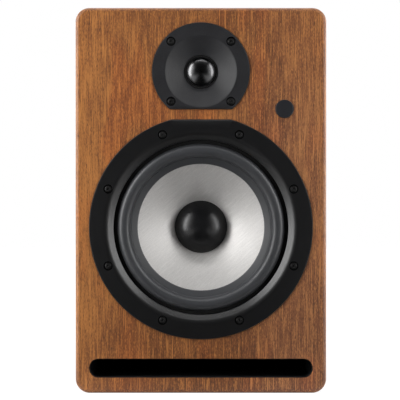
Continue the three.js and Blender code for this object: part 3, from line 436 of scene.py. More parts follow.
def softened(corners):
    """An outline whose corners (radius, depth, rounding) are rounded. An open one ends in plain corners."""
    steps = 4
    points = []
    for i, (radius, depth, rounding) in enumerate(corners):
        corner = Vector((radius, depth))
        if not rounding:
            points.append((radius, depth))
            continue
        before = Vector(corners[i - 1][:2]) - corner
        after = Vector(corners[(i + 1) % len(corners)][:2]) - corner
        a = corner + before.normalized() * min(rounding, before.length * 0.45)
        b = corner + after.normalized() * min(rounding, after.length * 0.45)
        for k in range(steps + 1):
            t = k / steps
            points.append(tuple(a * (1 - t) ** 2 + corner * 2 * t * (1 - t) + b * t * t))
    return points


def arc(centre, reach, start, end, steps):
    """Points of a round arc in (radius, depth), its angles in degrees, 90 towards the listener."""
    points = []
    for i in range(steps + 1):
        angle = math.radians(start + (end - start) * i / steps)
        points.append((centre[0] + reach * math.cos(angle), centre[1] - reach * math.sin(angle)))
    return points


def crown(radius, height, foot, steps):
    """Outline of a round crown, from its top on the axis to its foot."""
    ball = (radius ** 2 + height ** 2) / (2 * height)
    edge = math.degrees(math.asin(radius / ball))
    outline = arc((0, foot - height + ball), ball, 90, 90 - edge, steps)
    outline[0] = (0, outline[0][1])
    return outline


def clothe(obj, *finishes):
    """Gives a piece its finishes, in order."""
    obj.data.materials.clear()
    for finish in finishes:
        obj.data.materials.append(MATERIALS[finish])


def settle(obj, slot_name, *nodes):
    """Clothes a piece that is still bare, and puts it in the place of its nodes."""
    if not obj.data.materials:
        clothe(obj, slot_name)
    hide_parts(*nodes)


def finish_piece(obj, body, slot_name, *nodes):
    """Lets a finished piece ride on its body, in the place of its nodes."""
    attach(obj, body)
    settle(obj, slot_name, *nodes)


def finish_blend(obj, slot_name, node):
    """Bakes a ring's place into its mesh, clothes it if it is still bare, and puts it in the place of its
    node."""
    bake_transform(obj)
    settle(obj, slot_name, node)


def paint_faces(obj, index, test):
    """Gives the faces whose middle and normal pass the test another of the piece's materials."""
    for face in obj.data.polygons:
        if test(face.center, face.normal):
            face.material_index = index


# ---------------------------------------------------------------------------------------------------
# Node trees and finishes

MATERIALS = {}
SOOT = (0.022, 0.022, 0.023)
BOARD = (0.40, 0.27, 0.16)


def put(tree, kind, settings=None, **inputs):
    """Adds a node, sets its settings, and sets or links its inputs."""
    made = tree.nodes.new(kind)
    for key, value in (settings or {}).items():
        setattr(made, key, value)
    for key, value in inputs.items():
        feed(tree, made.inputs[key.replace("_", " ")], value)
    return made


def feed(tree, socket, value):
    """Links a socket to an input, or sets it."""
    if isinstance(value, bpy.types.NodeSocket):
        tree.links.new(value, socket)
    elif isinstance(value, (tuple, list, Vector)) and socket.type == "RGBA":
        socket.default_value = (*value[:3], 1.0)
    else:
        socket.default_value = value


def maths(tree, operation, a, b=None, c=None):
    """A maths node's result."""
    made = tree.nodes.new("ShaderNodeMath")
    made.operation = operation
    for socket, value in zip(made.inputs, (a, b, c)):
        if value is not None:
            feed(tree, socket, value)
    return made.outputs[0]


def spread(tree, value, low, high, to_low=0.0, to_high=1.0):
    """A value stretched from one range to another, and held inside it."""
    made = put(tree, "ShaderNodeMapRange", Value=value)
    for key, number in (("From Min", low), ("From Max", high), ("To Min", to_low), ("To Max", to_high)):
        feed(tree, made.inputs[key], number)
    return made.outputs["Result"]


def blend_colours(tree, factor, a, b, mode="MIX"):
    """A mix of two colours."""
    made = tree.nodes.new("ShaderNodeMix")
    made.data_type = "RGBA"
    made.blend_type = mode
    feed(tree, made.inputs["Factor"], factor)
    feed(tree, made.inputs[6], a)
    feed(tree, made.inputs[7], b)
    return made.outputs[2]


def noise(tree, vector, scale=1.0, detail=2.0, roughness=0.55, distortion=0.0):
    """A noise texture's value."""
    made = put(
        tree, "ShaderNodeTexNoise", Vector=vector, Scale=scale, Detail=detail, Roughness=roughness,
        Distortion=distortion,
    )
    return made.outputs["Fac"]


def stretched(tree, vector, scale, place=(0, 0, 0)):
    """A vector moved and scaled, so that a pattern stretches."""
    return put(tree, "ShaderNodeMapping", Vector=vector, Scale=scale, Location=place).outputs[0]


def layer(tree, vector, scale, place=(0, 0, 0), **others):
    """Noise in a vector moved and scaled."""
    return noise(tree, stretched(tree, vector, scale, place), **others)


def tinge(tree, base, colour_to, value, low, high, most=1.0):
    """A colour turned towards another one as a value goes from low to high."""
    return blend_colours(tree, spread(tree, value, low, high, 0.0, most), base, colour_to)


def new_group(name, inputs, outputs):
    """An empty shader node group with its sockets: each input is (name, kind, default)."""
    tree = bpy.data.node_groups.new(name, "ShaderNodeTree")
    for label, kind, default in inputs:
        socket = tree.interface.new_socket(name=label, in_out="INPUT", socket_type="NodeSocket" + kind)
        if default is not None:
            socket.default_value = default
    for label, kind in outputs:
        tree.interface.new_socket(name=label, in_out="OUTPUT", socket_type="NodeSocket" + kind)
    return tree, tree.nodes.new("NodeGroupInput").outputs, tree.nodes.new("NodeGroupOutput").inputs


def use_group(tree, name, build, **inputs):
    """The outputs of a node that places a group, which is built the first time that it is asked for."""
    group = bpy.data.node_groups.get(name) or build(name)
    return put(tree, "ShaderNodeGroup", {"node_tree": group}, **inputs).outputs


def build_wood_grain(name):
    """Open-pored veneer with its grain along Z: slow bands, blotches, fibres, dark pores and pale flecks."""
    tree, given, result = new_group(
        name,
        [
            ("Vector", "Vector", None),
            ("Light", "Color", (0.5, 0.25, 0.1, 1)),
            ("Middle", "Color", (0.3, 0.12, 0.05, 1)),
            ("Dark", "Color", (0.1, 0.04, 0.02, 1)),
            ("Tone", "Float", 0.0),
            ("Pores", "Float", 0.7),
        ],
        [("Color", "Color"), ("Roughness", "Float"), ("Height", "Float")],
    )
    at = given["Vector"]
    broad = layer(tree, at, (20, 20, 3))
    bands = layer(tree, at, (210, 210, 7), (3, 0, 1), distortion=0.5)
    blotch = layer(tree, at, (55, 55, 22), (1, 6, 3), distortion=0.6)
    fibre = layer(tree, at, (1300, 1300, 42), (0, 5, 2), roughness=0.6)
    specks = layer(tree, at, (1500, 1500, 330), (5, 2, 2), roughness=0.6)
    pores = layer(tree, at, (1300, 1300, 170), (7, 0, 4), detail=1.5)
    flecks = layer(tree, at, (900, 900, 26), (2, 9, 8), detail=1.5)
    tone = maths(tree, "ADD", given["Tone"], maths(tree, "MULTIPLY", broad, 0.4))
    tone = maths(tree, "MULTIPLY_ADD", bands, 0.3, tone)
    tone = maths(tree, "MULTIPLY_ADD", blotch, 0.3, tone)
    thread = maths(tree, "MULTIPLY_ADD", specks, 0.5, maths(tree, "MULTIPLY", fibre, 0.5))
    pore = maths(tree, "MULTIPLY", spread(tree, pores, 0.60, 0.70), given["Pores"])
    base = tinge(tree, given["Middle"], given["Dark"], tone, 0.50, 0.36, 0.6)
    base = tinge(tree, base, given["Light"], tone, 0.50, 0.64, 0.6)
    base = tinge(tree, base, given["Dark"], thread, 0.50, 0.36, 0.8)
    base = tinge(tree, base, given["Light"], thread, 0.50, 0.64, 0.9)
    base = blend_colours(tree, pore, base, given["Dark"])
    base = tinge(tree, base, given["Light"], flecks, 0.60, 0.68, 0.75)
    tree.links.new(base, result["Color"])
    tree.links.new(spread(tree, pore, 0.0, 1.0, 0.36, 0.6), result["Roughness"])
    tree.links.new(maths(tree, "SUBTRACT", maths(tree, "MULTIPLY", thread, 0.6), pore), result["Height"])
    return tree


def build_fine_grain(name):
    """An even, fine surface grain with a little slow variation, as of powder coat, moulding or felt."""
    tree, given, result = new_group(
        name,
        [("Vector", "Vector", None), ("Size", "Float", 0.0006), ("Cloud", "Float", 0.03)],
        [("Grain", "Float"), ("Cloud", "Float"), ("Height", "Float")],
    )
    scale = maths(tree, "DIVIDE", 1.0, given["Size"])
    fine = noise(tree, given["Vector"], scale=scale)
    tree.links.new(spread(tree, fine, 0.3, 0.7), result["Grain"])
    cloud = noise(tree, given["Vector"], scale=maths(tree, "DIVIDE", 1.0, given["Cloud"]), detail=3.0)
    tree.links.new(spread(tree, cloud, 0.35, 0.65), result["Cloud"])
    tree.links.new(fine, result["Height"])
    return tree


def build_turned_rings(name):
    """Fine rings about an axis along Y through the vector's origin, as a lathe, a winding or a cone shows."""
    tree, given, result = new_group(
        name,
        [("Vector", "Vector", None), ("Pitch", "Float", 0.001), ("Waver", "Float", 0.3)],
        [("Rings", "Float")],
    )
    parts = put(tree, "ShaderNodeSeparateXYZ", Vector=given["Vector"]).outputs
    square = maths(tree, "ADD", maths(tree, "MULTIPLY", parts[0], parts[0]),
                   maths(tree, "MULTIPLY", parts[2], parts[2]))
    radius = maths(tree, "SQRT", square)
    waver = maths(tree, "MULTIPLY", noise(tree, given["Vector"], scale=90.0, detail=3.0), given["Waver"])
    phase = maths(tree, "ADD", maths(tree, "DIVIDE", radius, given["Pitch"]), waver)
    rings = maths(tree, "SINE", maths(tree, "MULTIPLY", phase, TURN))
    tree.links.new(spread(tree, rings, -1.0, 1.0), result["Rings"])
    return tree


def build_weave(name):
    """A plain weave in the plane across Y, as of spider cloth."""
    tree, given, result = new_group(
        name,
        [("Vector", "Vector", None), ("Thread", "Float", 0.0006)],
        [("Threads", "Float")],
    )
    parts = put(tree, "ShaderNodeSeparateXYZ", Vector=given["Vector"]).outputs
    waves = []
    for part in (parts[0], parts[2]):
        turns = maths(tree, "MULTIPLY", maths(tree, "DIVIDE", part, given["Thread"]), math.pi)
        waves.append(maths(tree, "ABSOLUTE", maths(tree, "SINE", turns)))
    tree.links.new(maths(tree, "MULTIPLY", waves[0], waves[1]), result["Threads"])
    return tree


def new_material(name):
    """A material, its node tree and the point's own place on the object."""
    material = bpy.data.materials.new(name)
    material.use_nodes = True
    tree = material.node_tree
    return material, tree, tree.nodes.new("ShaderNodeTexCoord").outputs["Object"]


def surface(material, base, rough, relief, metallic=0.0, specular=0.5):
    """The material with its shader set. The relief is a height, its strength and its depth in millimetres."""
    tree = material.node_tree
    height, strength, depth = relief
    bump = put(tree, "ShaderNodeBump", Height=height, Strength=strength, Distance=depth * MM)
    values = {
        "Base Color": base, "Roughness": rough, "Normal": bump.outputs[0], "Metallic": metallic,
        "Specular IOR Level": specular,
    }
    for key, value in values.items():
        feed(tree, tree.nodes["Principled BSDF"].inputs[key], value)
    return material


def fine_grain(tree, at, size, cloud):
    """The fine grain's outputs, for a size in millimetres and a cloud in metres."""
    return use_group(tree, "Fine grain", build_fine_grain, Vector=at, Size=size * MM, Cloud=cloud)


def turned_rings(tree, at, axis_z, pitch, waver):
    """Fine rings about an axis along Y at a height, and the place as that axis sees it."""
    centred = stretched(tree, at, (1, 1, 1), (0, 0, -axis_z))
    return use_group(
        tree, "Turned rings", build_turned_rings, Vector=centred, Pitch=pitch * MM, Waver=waver,
    )["Rings"], centred


def grained(name, base, other, size, rough, bump, depth=0.05, cloud=0.03, metallic=0.0, specular=0.5):
    """A material of one main colour with fine grain and slow clouds of a second one. The grain's size and
    depth are in millimetres."""
    material, tree, at = new_material(name)
    grain = fine_grain(tree, at, size, cloud)
    clouded = blend_colours(tree, maths(tree, "MULTIPLY", grain["Cloud"], 0.5), base, other)
    colour_out = blend_colours(tree, maths(tree, "MULTIPLY", grain["Grain"], 0.5), clouded, other)
    roughness = spread(tree, grain["Grain"], 0, 1, *rough)
    return surface(material, colour_out, roughness, (grain["Height"], bump, depth), metallic, specular)


def veneer_tone_with_painted_light(tree, across, height, change):
    """How much lighter or darker the veneer is at a place: it lightens towards its sides, partly its leaves'
    own tone and partly painted light, it is pale low at its left, it is dark in a streak high at its right,
    and it is darker low down, which is painted shade. The numbers are places across the front and up it, in
    metres."""
    left_lightening = spread(tree, across, -0.08, 0.015, change, -change)
    right_lightening = spread(tree, across, 0.07, 0.115, 0.0, change)
    streak = spread(tree, maths(tree, "ABSOLUTE", maths(tree, "SUBTRACT", across, 0.065)), 0.035, 0.01)
    streak = maths(tree, "MULTIPLY", streak, spread(tree, height, 0.27, 0.34))
    pale = maths(tree, "MULTIPLY", spread(tree, across, -0.08, -0.115), spread(tree, height, 0.17, 0.06))
    # Painted shade: the veneer darkens low down, and a dark streak high at the right adds to it.
    shade = maths(tree, "MULTIPLY_ADD", spread(tree, height, 0.14, 0.0), 2.0, streak)
    pale_and_shade = maths(tree, "SUBTRACT", maths(tree, "MULTIPLY", pale, 2.3), shade)
    return maths(tree, "MULTIPLY_ADD", pale_and_shade, 0.05, maths(tree, "ADD", left_lightening, right_lightening))


def veneer_tint(tree, at, across, height, colour_in):
    """The veneer's colour with slow rosy patches, greyer towards its right and lower part."""
    patches = layer(tree, at, (26, 26, 9), (8, 1, 5))
    rosy = blend_colours(tree, spread(tree, patches, 0.5, 0.62), colour_in, (1.1, 0.97, 0.93), "MULTIPLY")
    greyed = spread(tree, height, 0.36, 0.26, 0.4, 1.0)
    greyed = maths(tree, "MULTIPLY", spread(tree, across, 0.04, 0.1), greyed)
    return blend_colours(tree, greyed, rosy, (1.0, 1.08, 1.4), "MULTIPLY")


def veneer(name, cabinet, wrapped):
    """Oiled walnut veneer, its grain along Z, or along the wrap round the box."""
    material, tree, at = new_material(name)
    if wrapped:
        on_wrap = put(tree, "ShaderNodeUVMap", {"uv_map": "wrap"}).outputs[0]
        parts = put(tree, "ShaderNodeSeparateXYZ", Vector=on_wrap).outputs
        at = put(tree, "ShaderNodeCombineXYZ", X=parts[0], Y=0.3, Z=parts[1]).outputs[0]
    place = put(tree, "ShaderNodeSeparateXYZ", Vector=at).outputs
    wander = layer(tree, at, (9, 9, 3), (4, 2, 7))
    across = maths(tree, "MULTIPLY_ADD", wander, 0.05, place[0])
    wood = use_group(
        tree, "Wood grain", build_wood_grain, Vector=at, Light=tuple(cabinet.veneer_light),
        Middle=tuple(cabinet.veneer_middle), Dark=tuple(cabinet.veneer_dark), Pores=0.75,
        Tone=veneer_tone_with_painted_light(tree, across, place[2], cabinet.side_lightening),
    )
    tinted = veneer_tint(tree, at, across, place[2], wood["Color"])
    return surface(material, tinted, wood["Roughness"], (wood["Height"], 0.3, 0.1), specular=0.4)


def cone_material(name, woofer):
    """Pressed fibre: pale, with fine speckle and faint hairs."""
    material, tree, at = new_material(name)
    rings, centred = turned_rings(tree, at, WOOFER_Z, 1.7, 1.5)
    speckle = noise(tree, centred, scale=1700.0, roughness=0.7)
    slanted = put(tree, "ShaderNodeVectorRotate", {"rotation_type": "Y_AXIS"}, Vector=centred, Angle=0.7)
    hairs = layer(tree, slanted.outputs[0], (70, 70, 800), detail=3.0, distortion=0.3)
    pale = tuple(min(1.0, c * 1.1) for c in woofer.cone_colour)
    deep = tuple(c * 0.8 for c in woofer.cone_colour)
    base = tinge(tree, deep, pale, speckle, 0.3, 0.7)
    base = tinge(tree, base, pale, hairs, 0.54, 0.66, 0.6)
    base = tinge(tree, base, deep, hairs, 0.46, 0.34, 0.35)
    base = blend_colours(tree, maths(tree, "MULTIPLY", rings, 0.06), base, deep)
    rough = spread(tree, speckle, 0.3, 0.7, 0.46, 0.58)
    return surface(material, base, rough, (maths(tree, "ADD", speckle, hairs), 0.15, 0.05), 0.55)


def brushed(name, base, axis_z, pitch, rough, other=None):
    """Metal or wire with fine rings about an axis along Y at a height, their pitch in millimetres."""
    material, tree, at = new_material(name)
    rings = turned_rings(tree, at, axis_z, pitch, 0.4)[0]
    grain = fine_grain(tree, at, 0.8, 0.02)
    dim = other or tuple(c * 0.7 for c in base)
    mask = maths(tree, "MULTIPLY", rings, maths(tree, "ADD", grain["Cloud"], 0.3))
    roughness = spread(tree, grain["Grain"], 0, 1, rough, rough + 0.12)
    return surface(material, blend_colours(tree, mask, base, dim), roughness, (rings, 0.1, 0.02), 1.0)


def cloth(name, base, other, thread):
    """Stiffened cloth, its threads' pitch in millimetres."""
    material, tree, at = new_material(name)
    weave = use_group(tree, "Weave", build_weave, Vector=at, Thread=thread * MM)
    grain = fine_grain(tree, at, 1.5, 0.01)
    mask = maths(tree, "MULTIPLY", weave["Threads"], maths(tree, "ADD", grain["Cloud"], 0.5))
    return surface(material, blend_colours(tree, mask, other, base), 0.85, (weave["Threads"], 0.4, 0.15))


def shelf_material(name, board, duct):
    """Bare board above, and near-black painted shade on the face that the duct shows."""
    material, tree, at = new_material(name)
    grain = fine_grain(tree, at, 1.2, 0.02)
    up = put(tree, "ShaderNodeSeparateXYZ", Vector=tree.nodes.new("ShaderNodeNewGeometry").outputs["Normal"])
    # Painted shade on the faces that point down into the duct.
    painted = maths(tree, "LESS_THAN", up.outputs[2], 0.5)
    bare = blend_colours(tree, grain["Grain"], board, tuple(c * 0.6 for c in board))
    rough = spread(tree, grain["Grain"], 0, 1, 0.6, 0.8)
    return surface(material, blend_colours(tree, painted, bare, duct), rough, (grain["Height"], 0.2, 0.1))


def cabinet_finishes(cabinet):
    """Rows of the box's plain finishes: key, name, two colours, grain size in millimetres, range of
    roughness, strength of the relief, and what else is set."""
    return (
        ("bare_board", "Bare fibreboard", BOARD, (0.24, 0.15, 0.085), 1.2, (0.75, 0.9), 0.3,
         {"depth": 0.15}),
        # Painted shade: near-black, barely glossy insides of the screws' counterbores.
        ("well_painted_shade", "Painted recess shade", (0.0008, 0.0008, 0.0009), (0.0014, 0.0014, 0.0015), 0.8, (0.7, 0.8),
         0.3, {"specular": 0.04}),
        # Painted shade: near-black for the port's duct, its slot and the faces seen through it.
        ("duct_painted_shade", "Matt painted duct shade", (0.008, 0.009, 0.01), (0.012, 0.013, 0.014), 0.8, (0.8, 0.9), 0.2,
         {"specular": 0.1}),
        ("rear_paint", "Rear panel paint", tuple(cabinet.paint), SOOT, 1.1, (0.5, 0.68), 0.5,
         {"depth": 0.12}),
        ("wadding", "Polyester wadding", (0.62, 0.63, 0.64), (0.42, 0.43, 0.45), 3, (0.9, 1.0), 0.8,
         {"cloud": 0.012, "depth": 1.2}),
        ("badge_black", "Anodised badge", (0.010, 0.010, 0.012), (0.016, 0.017, 0.021), 0.4, (0.38, 0.46),
         0.08, {"depth": 0.02}),
        ("black_screw", "Black oxide", (0.004, 0.004, 0.004), (0.008, 0.008, 0.008), 0.4, (0.4, 0.5), 0.05,
         {"depth": 0.02, "specular": 0.25}),
    )


def driver_finishes(woofer, tweeter):
    """Rows of the drivers' plain finishes."""
    frame_colour, rubber = tuple(woofer.frame_colour), tuple(woofer.rubber_colour)
    plate, dome = tuple(tweeter.plate_colour), tuple(tweeter.dome_colour)
    dim_dome = tuple(c * 0.8 for c in dome)
    return (
        ("cast_frame", "Powder coated casting", frame_colour, (0.0045, 0.0045, 0.005), 0.9, (0.33, 0.41),
         0.3, {"depth": 0.06, "specular": 0.6}),
        ("tweeter_plate", "Moulded plate", plate, (0.026, 0.026, 0.029), 0.9, (0.4, 0.52), 0.8,
         {"depth": 0.15, "specular": 0.35}),
        ("surround_rubber", "Surround rubber", rubber, (0.045, 0.046, 0.051), 0.7, (0.36, 0.46), 0.1,
         {"depth": 0.03}),
        ("cap_black", "Lacquered cap", tuple(woofer.cap_colour), (0.010, 0.010, 0.011), 0.7, (0.27, 0.33),
         0.05, {"depth": 0.02, "specular": 0.38}),
        ("dome_metal", "Dome metal", dome, dim_dome, 0.5, (0.22, 0.26), 0.02,
         {"metallic": 1.0, "depth": 0.01}),
        # Also used as painted shade on the woofer surround's outer flange, in the gap under the frame.
        ("dome_roll", "Dome suspension and painted gap shade", (0.003, 0.003, 0.003), (0.005, 0.005, 0.005), 0.5, (0.6, 0.7), 0.1,
         {"specular": 0.3}),
        ("former", "Former film", (0.45, 0.30, 0.14), (0.33, 0.2, 0.08), 1, (0.4, 0.5), 0.05, {}),
        ("ferrite", "Ferrite", (0.035, 0.036, 0.038), (0.06, 0.06, 0.062), 0.8, (0.6, 0.75), 0.25, {}),
        ("gasket_foam", "Gasket foam", (0.02, 0.02, 0.02), (0.05, 0.05, 0.05), 0.7, (0.85, 0.95), 0.6,
         {"depth": 0.2}),
    )


def electric_finishes(terminals):
    """Rows of the plain finishes of the terminals and the crossover."""
    cup, red, black = (tuple(c) for c in (
        terminals.plastic_colour, terminals.red_colour, terminals.black_colour,
    ))
    return (
        ("cup_plastic", "Moulded cup", cup, (0.03, 0.03, 0.032), 0.6, (0.42, 0.56), 0.35, {}),
        ("nut_red", "Red nut", red, (0.30, 0.012, 0.012), 0.9, (0.3, 0.4), 0.08, {}),
        ("nut_black", "Black nut", black, SOOT, 0.9, (0.3, 0.42), 0.08, {}),
        ("laminate", "Circuit laminate", (0.05, 0.16, 0.06), (0.03, 0.10, 0.04), 1.5, (0.35, 0.5), 0.1, {}),
        ("capacitor_film", "Capacitor film", (0.10, 0.13, 0.30), (0.06, 0.08, 0.2), 1, (0.3, 0.4), 0.05, {}),
        ("lead_jacket", "Lead jacket", (0.03, 0.03, 0.032), (0.05, 0.05, 0.05), 0.8, (0.5, 0.6), 0.1, {}),
    )


def make_materials(scene):
    """Makes each finish once, by the name of its slot."""
    cabinet, woofer = scene.speaker_cabinet, scene.speaker_woofer
    terminals = scene.speaker_terminals
    copper, dark_copper = (0.76, 0.30, 0.13), (0.42, 0.13, 0.05)
    rows = (
        *cabinet_finishes(cabinet),
        *driver_finishes(woofer, scene.speaker_tweeter),
        *electric_finishes(terminals),
    )
    for key, *values, others in rows:
        MATERIALS[key] = grained(*values, **others)
    MATERIALS.update(
        walnut_veneer=veneer("Walnut veneer", cabinet, False),
        wrapped_veneer=veneer("Walnut veneer, wrapped", cabinet, True),
        duct_shelf=shelf_material("Shelf, painted shade below", BOARD, (0.004, 0.004, 0.004)),
        cone_fibre=cone_material("Cone fibre", woofer),
        spider_cloth=cloth("Spider cloth", (0.42, 0.24, 0.09), (0.22, 0.11, 0.04), 0.9),
        copper=brushed("Enamelled copper", copper, WOOFER_Z, 0.5, 0.25, dark_copper),
        motor_steel=brushed("Zinc plated steel", (0.55, 0.55, 0.56), WOOFER_Z, 0.8, 0.3),
        gold_contact=brushed("Gold plate", tuple(terminals.gold_colour), CUP_Z, 0.4, 0.2),
    )


# ---------------------------------------------------------------------------------------------------
# Cabinet


def seat_tool(radius, flat, height, depth, side, gap):
    """The cutter for a driver's rebate: a disc with one flat, at its top or bottom, grown by the gap."""
    reach = radius + gap
    tool = turned("seat_tool", [(0, -PAST), (reach, -PAST), (reach, depth), (0, depth)], z=height, steps=160)
    slice_off(tool, (0, 0, height + side * (flat + gap)), (0, 0, side))
    return tool


def round_tool(radius, height, x=0.0, start=-PAST, end=THROUGH, steps=96):
    """A plain round cutter along Y."""
    return turned("round_tool", [(0, start), (radius, start), (radius, end), (0, end)], x, height, steps)


def slot_tools(cabinet, width, height):
    """The cutters for the port's slot and for the small chamfer round its mouth."""
    tall, lip_depth = cabinet.slot_height, cabinet.slot_lip
    corner = tall / 2 - HAIR
    slot = slab("slot_tool", width, tall, corner, FRONT - PAST, FRONT + THROUGH, z=height, segments=16)
    lip = slab("lip_tool", width, tall, corner, FRONT - lip_depth, FRONT + lip_depth, z=height, segments=16)
    grow = 4 * lip_depth
    scale_end(lip, -1, (1 + grow / width, 1, 1 + grow / tall))
    return slot, lip


def baffle_board(cabinet):
    """The front board with its rounded corners and front edge."""
    back = BAFFLE[1].y
    board = slab("baffle", WIDTH, HEIGHT, cabinet.corner_radius, FRONT, back, z=HEIGHT / 2, segments=16)
    ease(board, cabinet.edge_radius, lambda a, b: max(a.y, b.y) < FRONT + MM, 6)
    ease(board, JOINT_CHAMFER, lambda a, b: min(a.y, b.y) > back - HAIR, 1)
    return board


def paint_baffle(body, cabinet, slot_width, slot_z):
    """Bare board in the drivers' seats and holes, and painted shade in the slot."""
    corner = cabinet.corner_radius
    reach = corner - cabinet.edge_radius - 0.2 * MM
    slot_end = slot_width / 2 + 0.8 * MM
    slot_top = cabinet.slot_height / 2 + 1.5 * MM

    def in_slot(at, normal):
        return abs(at.z - slot_z) < slot_top and abs(at.x) < slot_end and at.y > FRONT + 0.05 * MM

    def in_bores(at, normal):
        past = Vector((max(abs(at.x) - WIDTH / 2 + corner, 0),
                       max(abs(at.z - HEIGHT / 2) - HEIGHT / 2 + corner, 0)))
        return past.length < reach and at.y > FRONT + 0.1 * MM and not in_slot(at, normal)

    clothe(body, "walnut_veneer", "duct_painted_shade", "bare_board")
    paint_faces(body, 2, in_bores)
    paint_faces(body, 1, lambda at, normal: in_slot(at, normal) and abs(normal.y) < 0.9)


def make_baffle(cabinet, woofer, tweeter):
    """The veneered front with its rounded edge, rebates, holes and slot."""
    body = baffle_board(cabinet)
    slot_width = WIDTH - 2 * cabinet.slot_margin
    slot_z = SHELF[0].z - cabinet.slot_height / 2
    gap = cabinet.rebate_gap
    badge_at = middle("front_badge")
    cut(
        body, *slot_tools(cabinet, slot_width, slot_z),
        seat_tool(woofer.frame_radius, WOOFER_FLAT, WOOFER_Z, WOOFER_SEAT_DEPTH, 1, gap),
        round_tool(WOOFER_HOLE_RADIUS, WOOFER_Z, steps=128),
        seat_tool(tweeter.plate_radius, TWEETER_FLAT, TWEETER_Z, TWEETER_SEAT_DEPTH, -1, gap),
        round_tool(TWEETER_HOLE_RADIUS, TWEETER_Z),
        round_tool(radius_of("front_badge") + BADGE_GAP, badge_at.z, badge_at.x, end=BADGE_HOLE_DEPTH),
    )
    tidy(body, BOX_SHARP)
    paint_baffle(body, cabinet, slot_width, slot_z)
    finish_piece(body, "cabinet", "walnut_veneer", "front_baffle")


def wrap_place(x, z, corner):
    """How far round the box a point of its outside lies from the middle of the top."""
    reach = WIDTH / 2 - corner
    quarter = corner * math.pi / 2
    across, up = abs(x) - reach, max(z - (HEIGHT - corner), min(z - corner, 0.0))
    if z >= HEIGHT - corner:
        if across <= 0:
            return abs(x)
        return reach + corner * math.atan2(across, up)
    if z > corner:
        return reach + quarter + HEIGHT - corner - z
    if across <= 0:
        return 2 * reach + 2 * quarter + HEIGHT - 2 * corner - abs(x)
    return reach + quarter + HEIGHT - 2 * corner + corner * math.atan2(-up, across)


def wrap_map(obj, corner):
    """A map that runs round the box in metres, so that the veneer's grain turns with its corners."""
    wrap = obj.data.uv_layers.new(name="wrap")
    for face in obj.data.polygons:
        side = 1 if face.center.x >= 0 else -1
        for loop in face.loop_indices:
            at = obj.data.vertices[obj.data.loops[loop].vertex_index].co
            wrap.data[loop].uv = (at.y, side * wrap_place(at.x, at.z, corner))


def paint_sleeve(body, wall, inner, reveal):
    """Bare board inside, painted duct shade below the shelf and on the front rim, veneer on the rear rim and
    on the reveal round the rear panel."""
    low, high = wall - 0.1 * MM, HEIGHT - wall + 0.1 * MM

    def inside(at):
        return abs(at.x) < inner + 0.1 * MM and low < at.z < high

    clothe(body, "wrapped_veneer", "bare_board", "duct_painted_shade", "walnut_veneer")
    paint_faces(body, 1, lambda at, normal: inside(at))
    paint_faces(body, 2, lambda at, normal: inside(at) and at.z < SHELF[0].z)
    paint_faces(body, 2, lambda at, normal: normal.y < -0.9)
    paint_faces(body, 3, lambda at, normal: at.y > reveal and (normal.y > 0.9 or inside(at)))


def make_sleeve(cabinet):
    """Sides, top and bottom in one folded wrap, veneered outside, with painted shade in the duct."""
    start, wall = BAFFLE[1].y, cabinet.wall
    body = slab("sleeve", WIDTH, HEIGHT, cabinet.corner_radius, start, BACK, z=HEIGHT / 2, segments=16)
    ease(body, JOINT_CHAMFER, lambda a, b: max(a.y, b.y) < start + HAIR, 1)
    ease(body, cabinet.rear_edge, lambda a, b: min(a.y, b.y) > BACK - HAIR, 3)
    inner = WIDTH / 2 - wall
    cut(body, block("hollow_tool", (-inner, start - MM, wall), (inner, BACK + MM, HEIGHT - wall)))
    edit(body)
    reveal = REAR[1].y - MM
    planes = (((0, 0, 0), (1, 0, 0)), ((0, 0, SHELF[0].z), (0, 0, 1)), ((0, reveal, 0), (0, 1, 0)))
    for place, normal in planes:
        bpy.ops.mesh.select_all(action="SELECT")
        bpy.ops.mesh.bisect(plane_co=place, plane_no=normal)
    tidy(body, BOX_SHARP)
    wrap_map(body, cabinet.corner_radius)
    paint_sleeve(body, wall, inner, reveal)
    finish_piece(body, "cabinet", "walnut_veneer", "side_panel_left", "side_panel_right", "top_panel",
                 "bottom_panel")


def make_badge():
    """A plain disc with a fine raised rim."""
    low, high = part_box("front_badge")
    at = middle("front_badge")
    radius = radius_of("front_badge")
    face, back = low.y - FRONT, high.y - FRONT
    rim, sunk = 0.9 * MM, 0.2 * MM
    outline = softened([
        (0, face + sunk, 0),
        (radius - rim, face + sunk, 0.08 * MM),
        (radius - rim + 0.15 * MM, face, 0.08 * MM),
        (radius - 0.3 * MM, face, 0.12 * MM),
        (radius, face + 0.3 * MM, 0.12 * MM),
        (radius, back, 0),
        (0, back, 0),
    ])
    disc = turned("badge", outline, at.x, at.z, 96)
    finish_piece(disc, "cabinet", "badge_black", "front_badge")


# ---------------------------------------------------------------------------------------------------
# Screws


def recess_wing(turn):
    """The cutter for one wing of a screw's cross recess, narrower at its foot."""
    half, deep, thin = 2 * MM, 1.5 * MM, 0.42 * MM
    wing = block("wing_tool", (-half, FRONT - MM, -thin), (half, FRONT + deep, thin))
    scale_end(wing, 1, (0.45, 1, 0.7))
    wing.data.transform(Matrix.Rotation(math.radians(turn), 4, "Y"))
    return wing


def screw_pattern(long):
    """A pan head screw with a cross recess, its face at the baffle's front and its shank into the box."""
    head, tall, shank = 3.6 * MM, 2 * MM, 1.7 * MM
    end = tall + long
    outline = softened([
        (0, 0, 0), (head * 0.62, 0, 0.6 * MM), (head, 0.75 * MM, 0.7 * MM), (head, tall, 0.1 * MM),
        (shank, tall, 0), (shank, end - 2 * shank, 0), (0.2 * MM, end, 0), (0, end, 0),
    ])
    body = turned("screw_pattern", outline, steps=40)
    for turn in (0, 90):
        cut(body, recess_wing(turn))
    return tidy(body, SHARP)


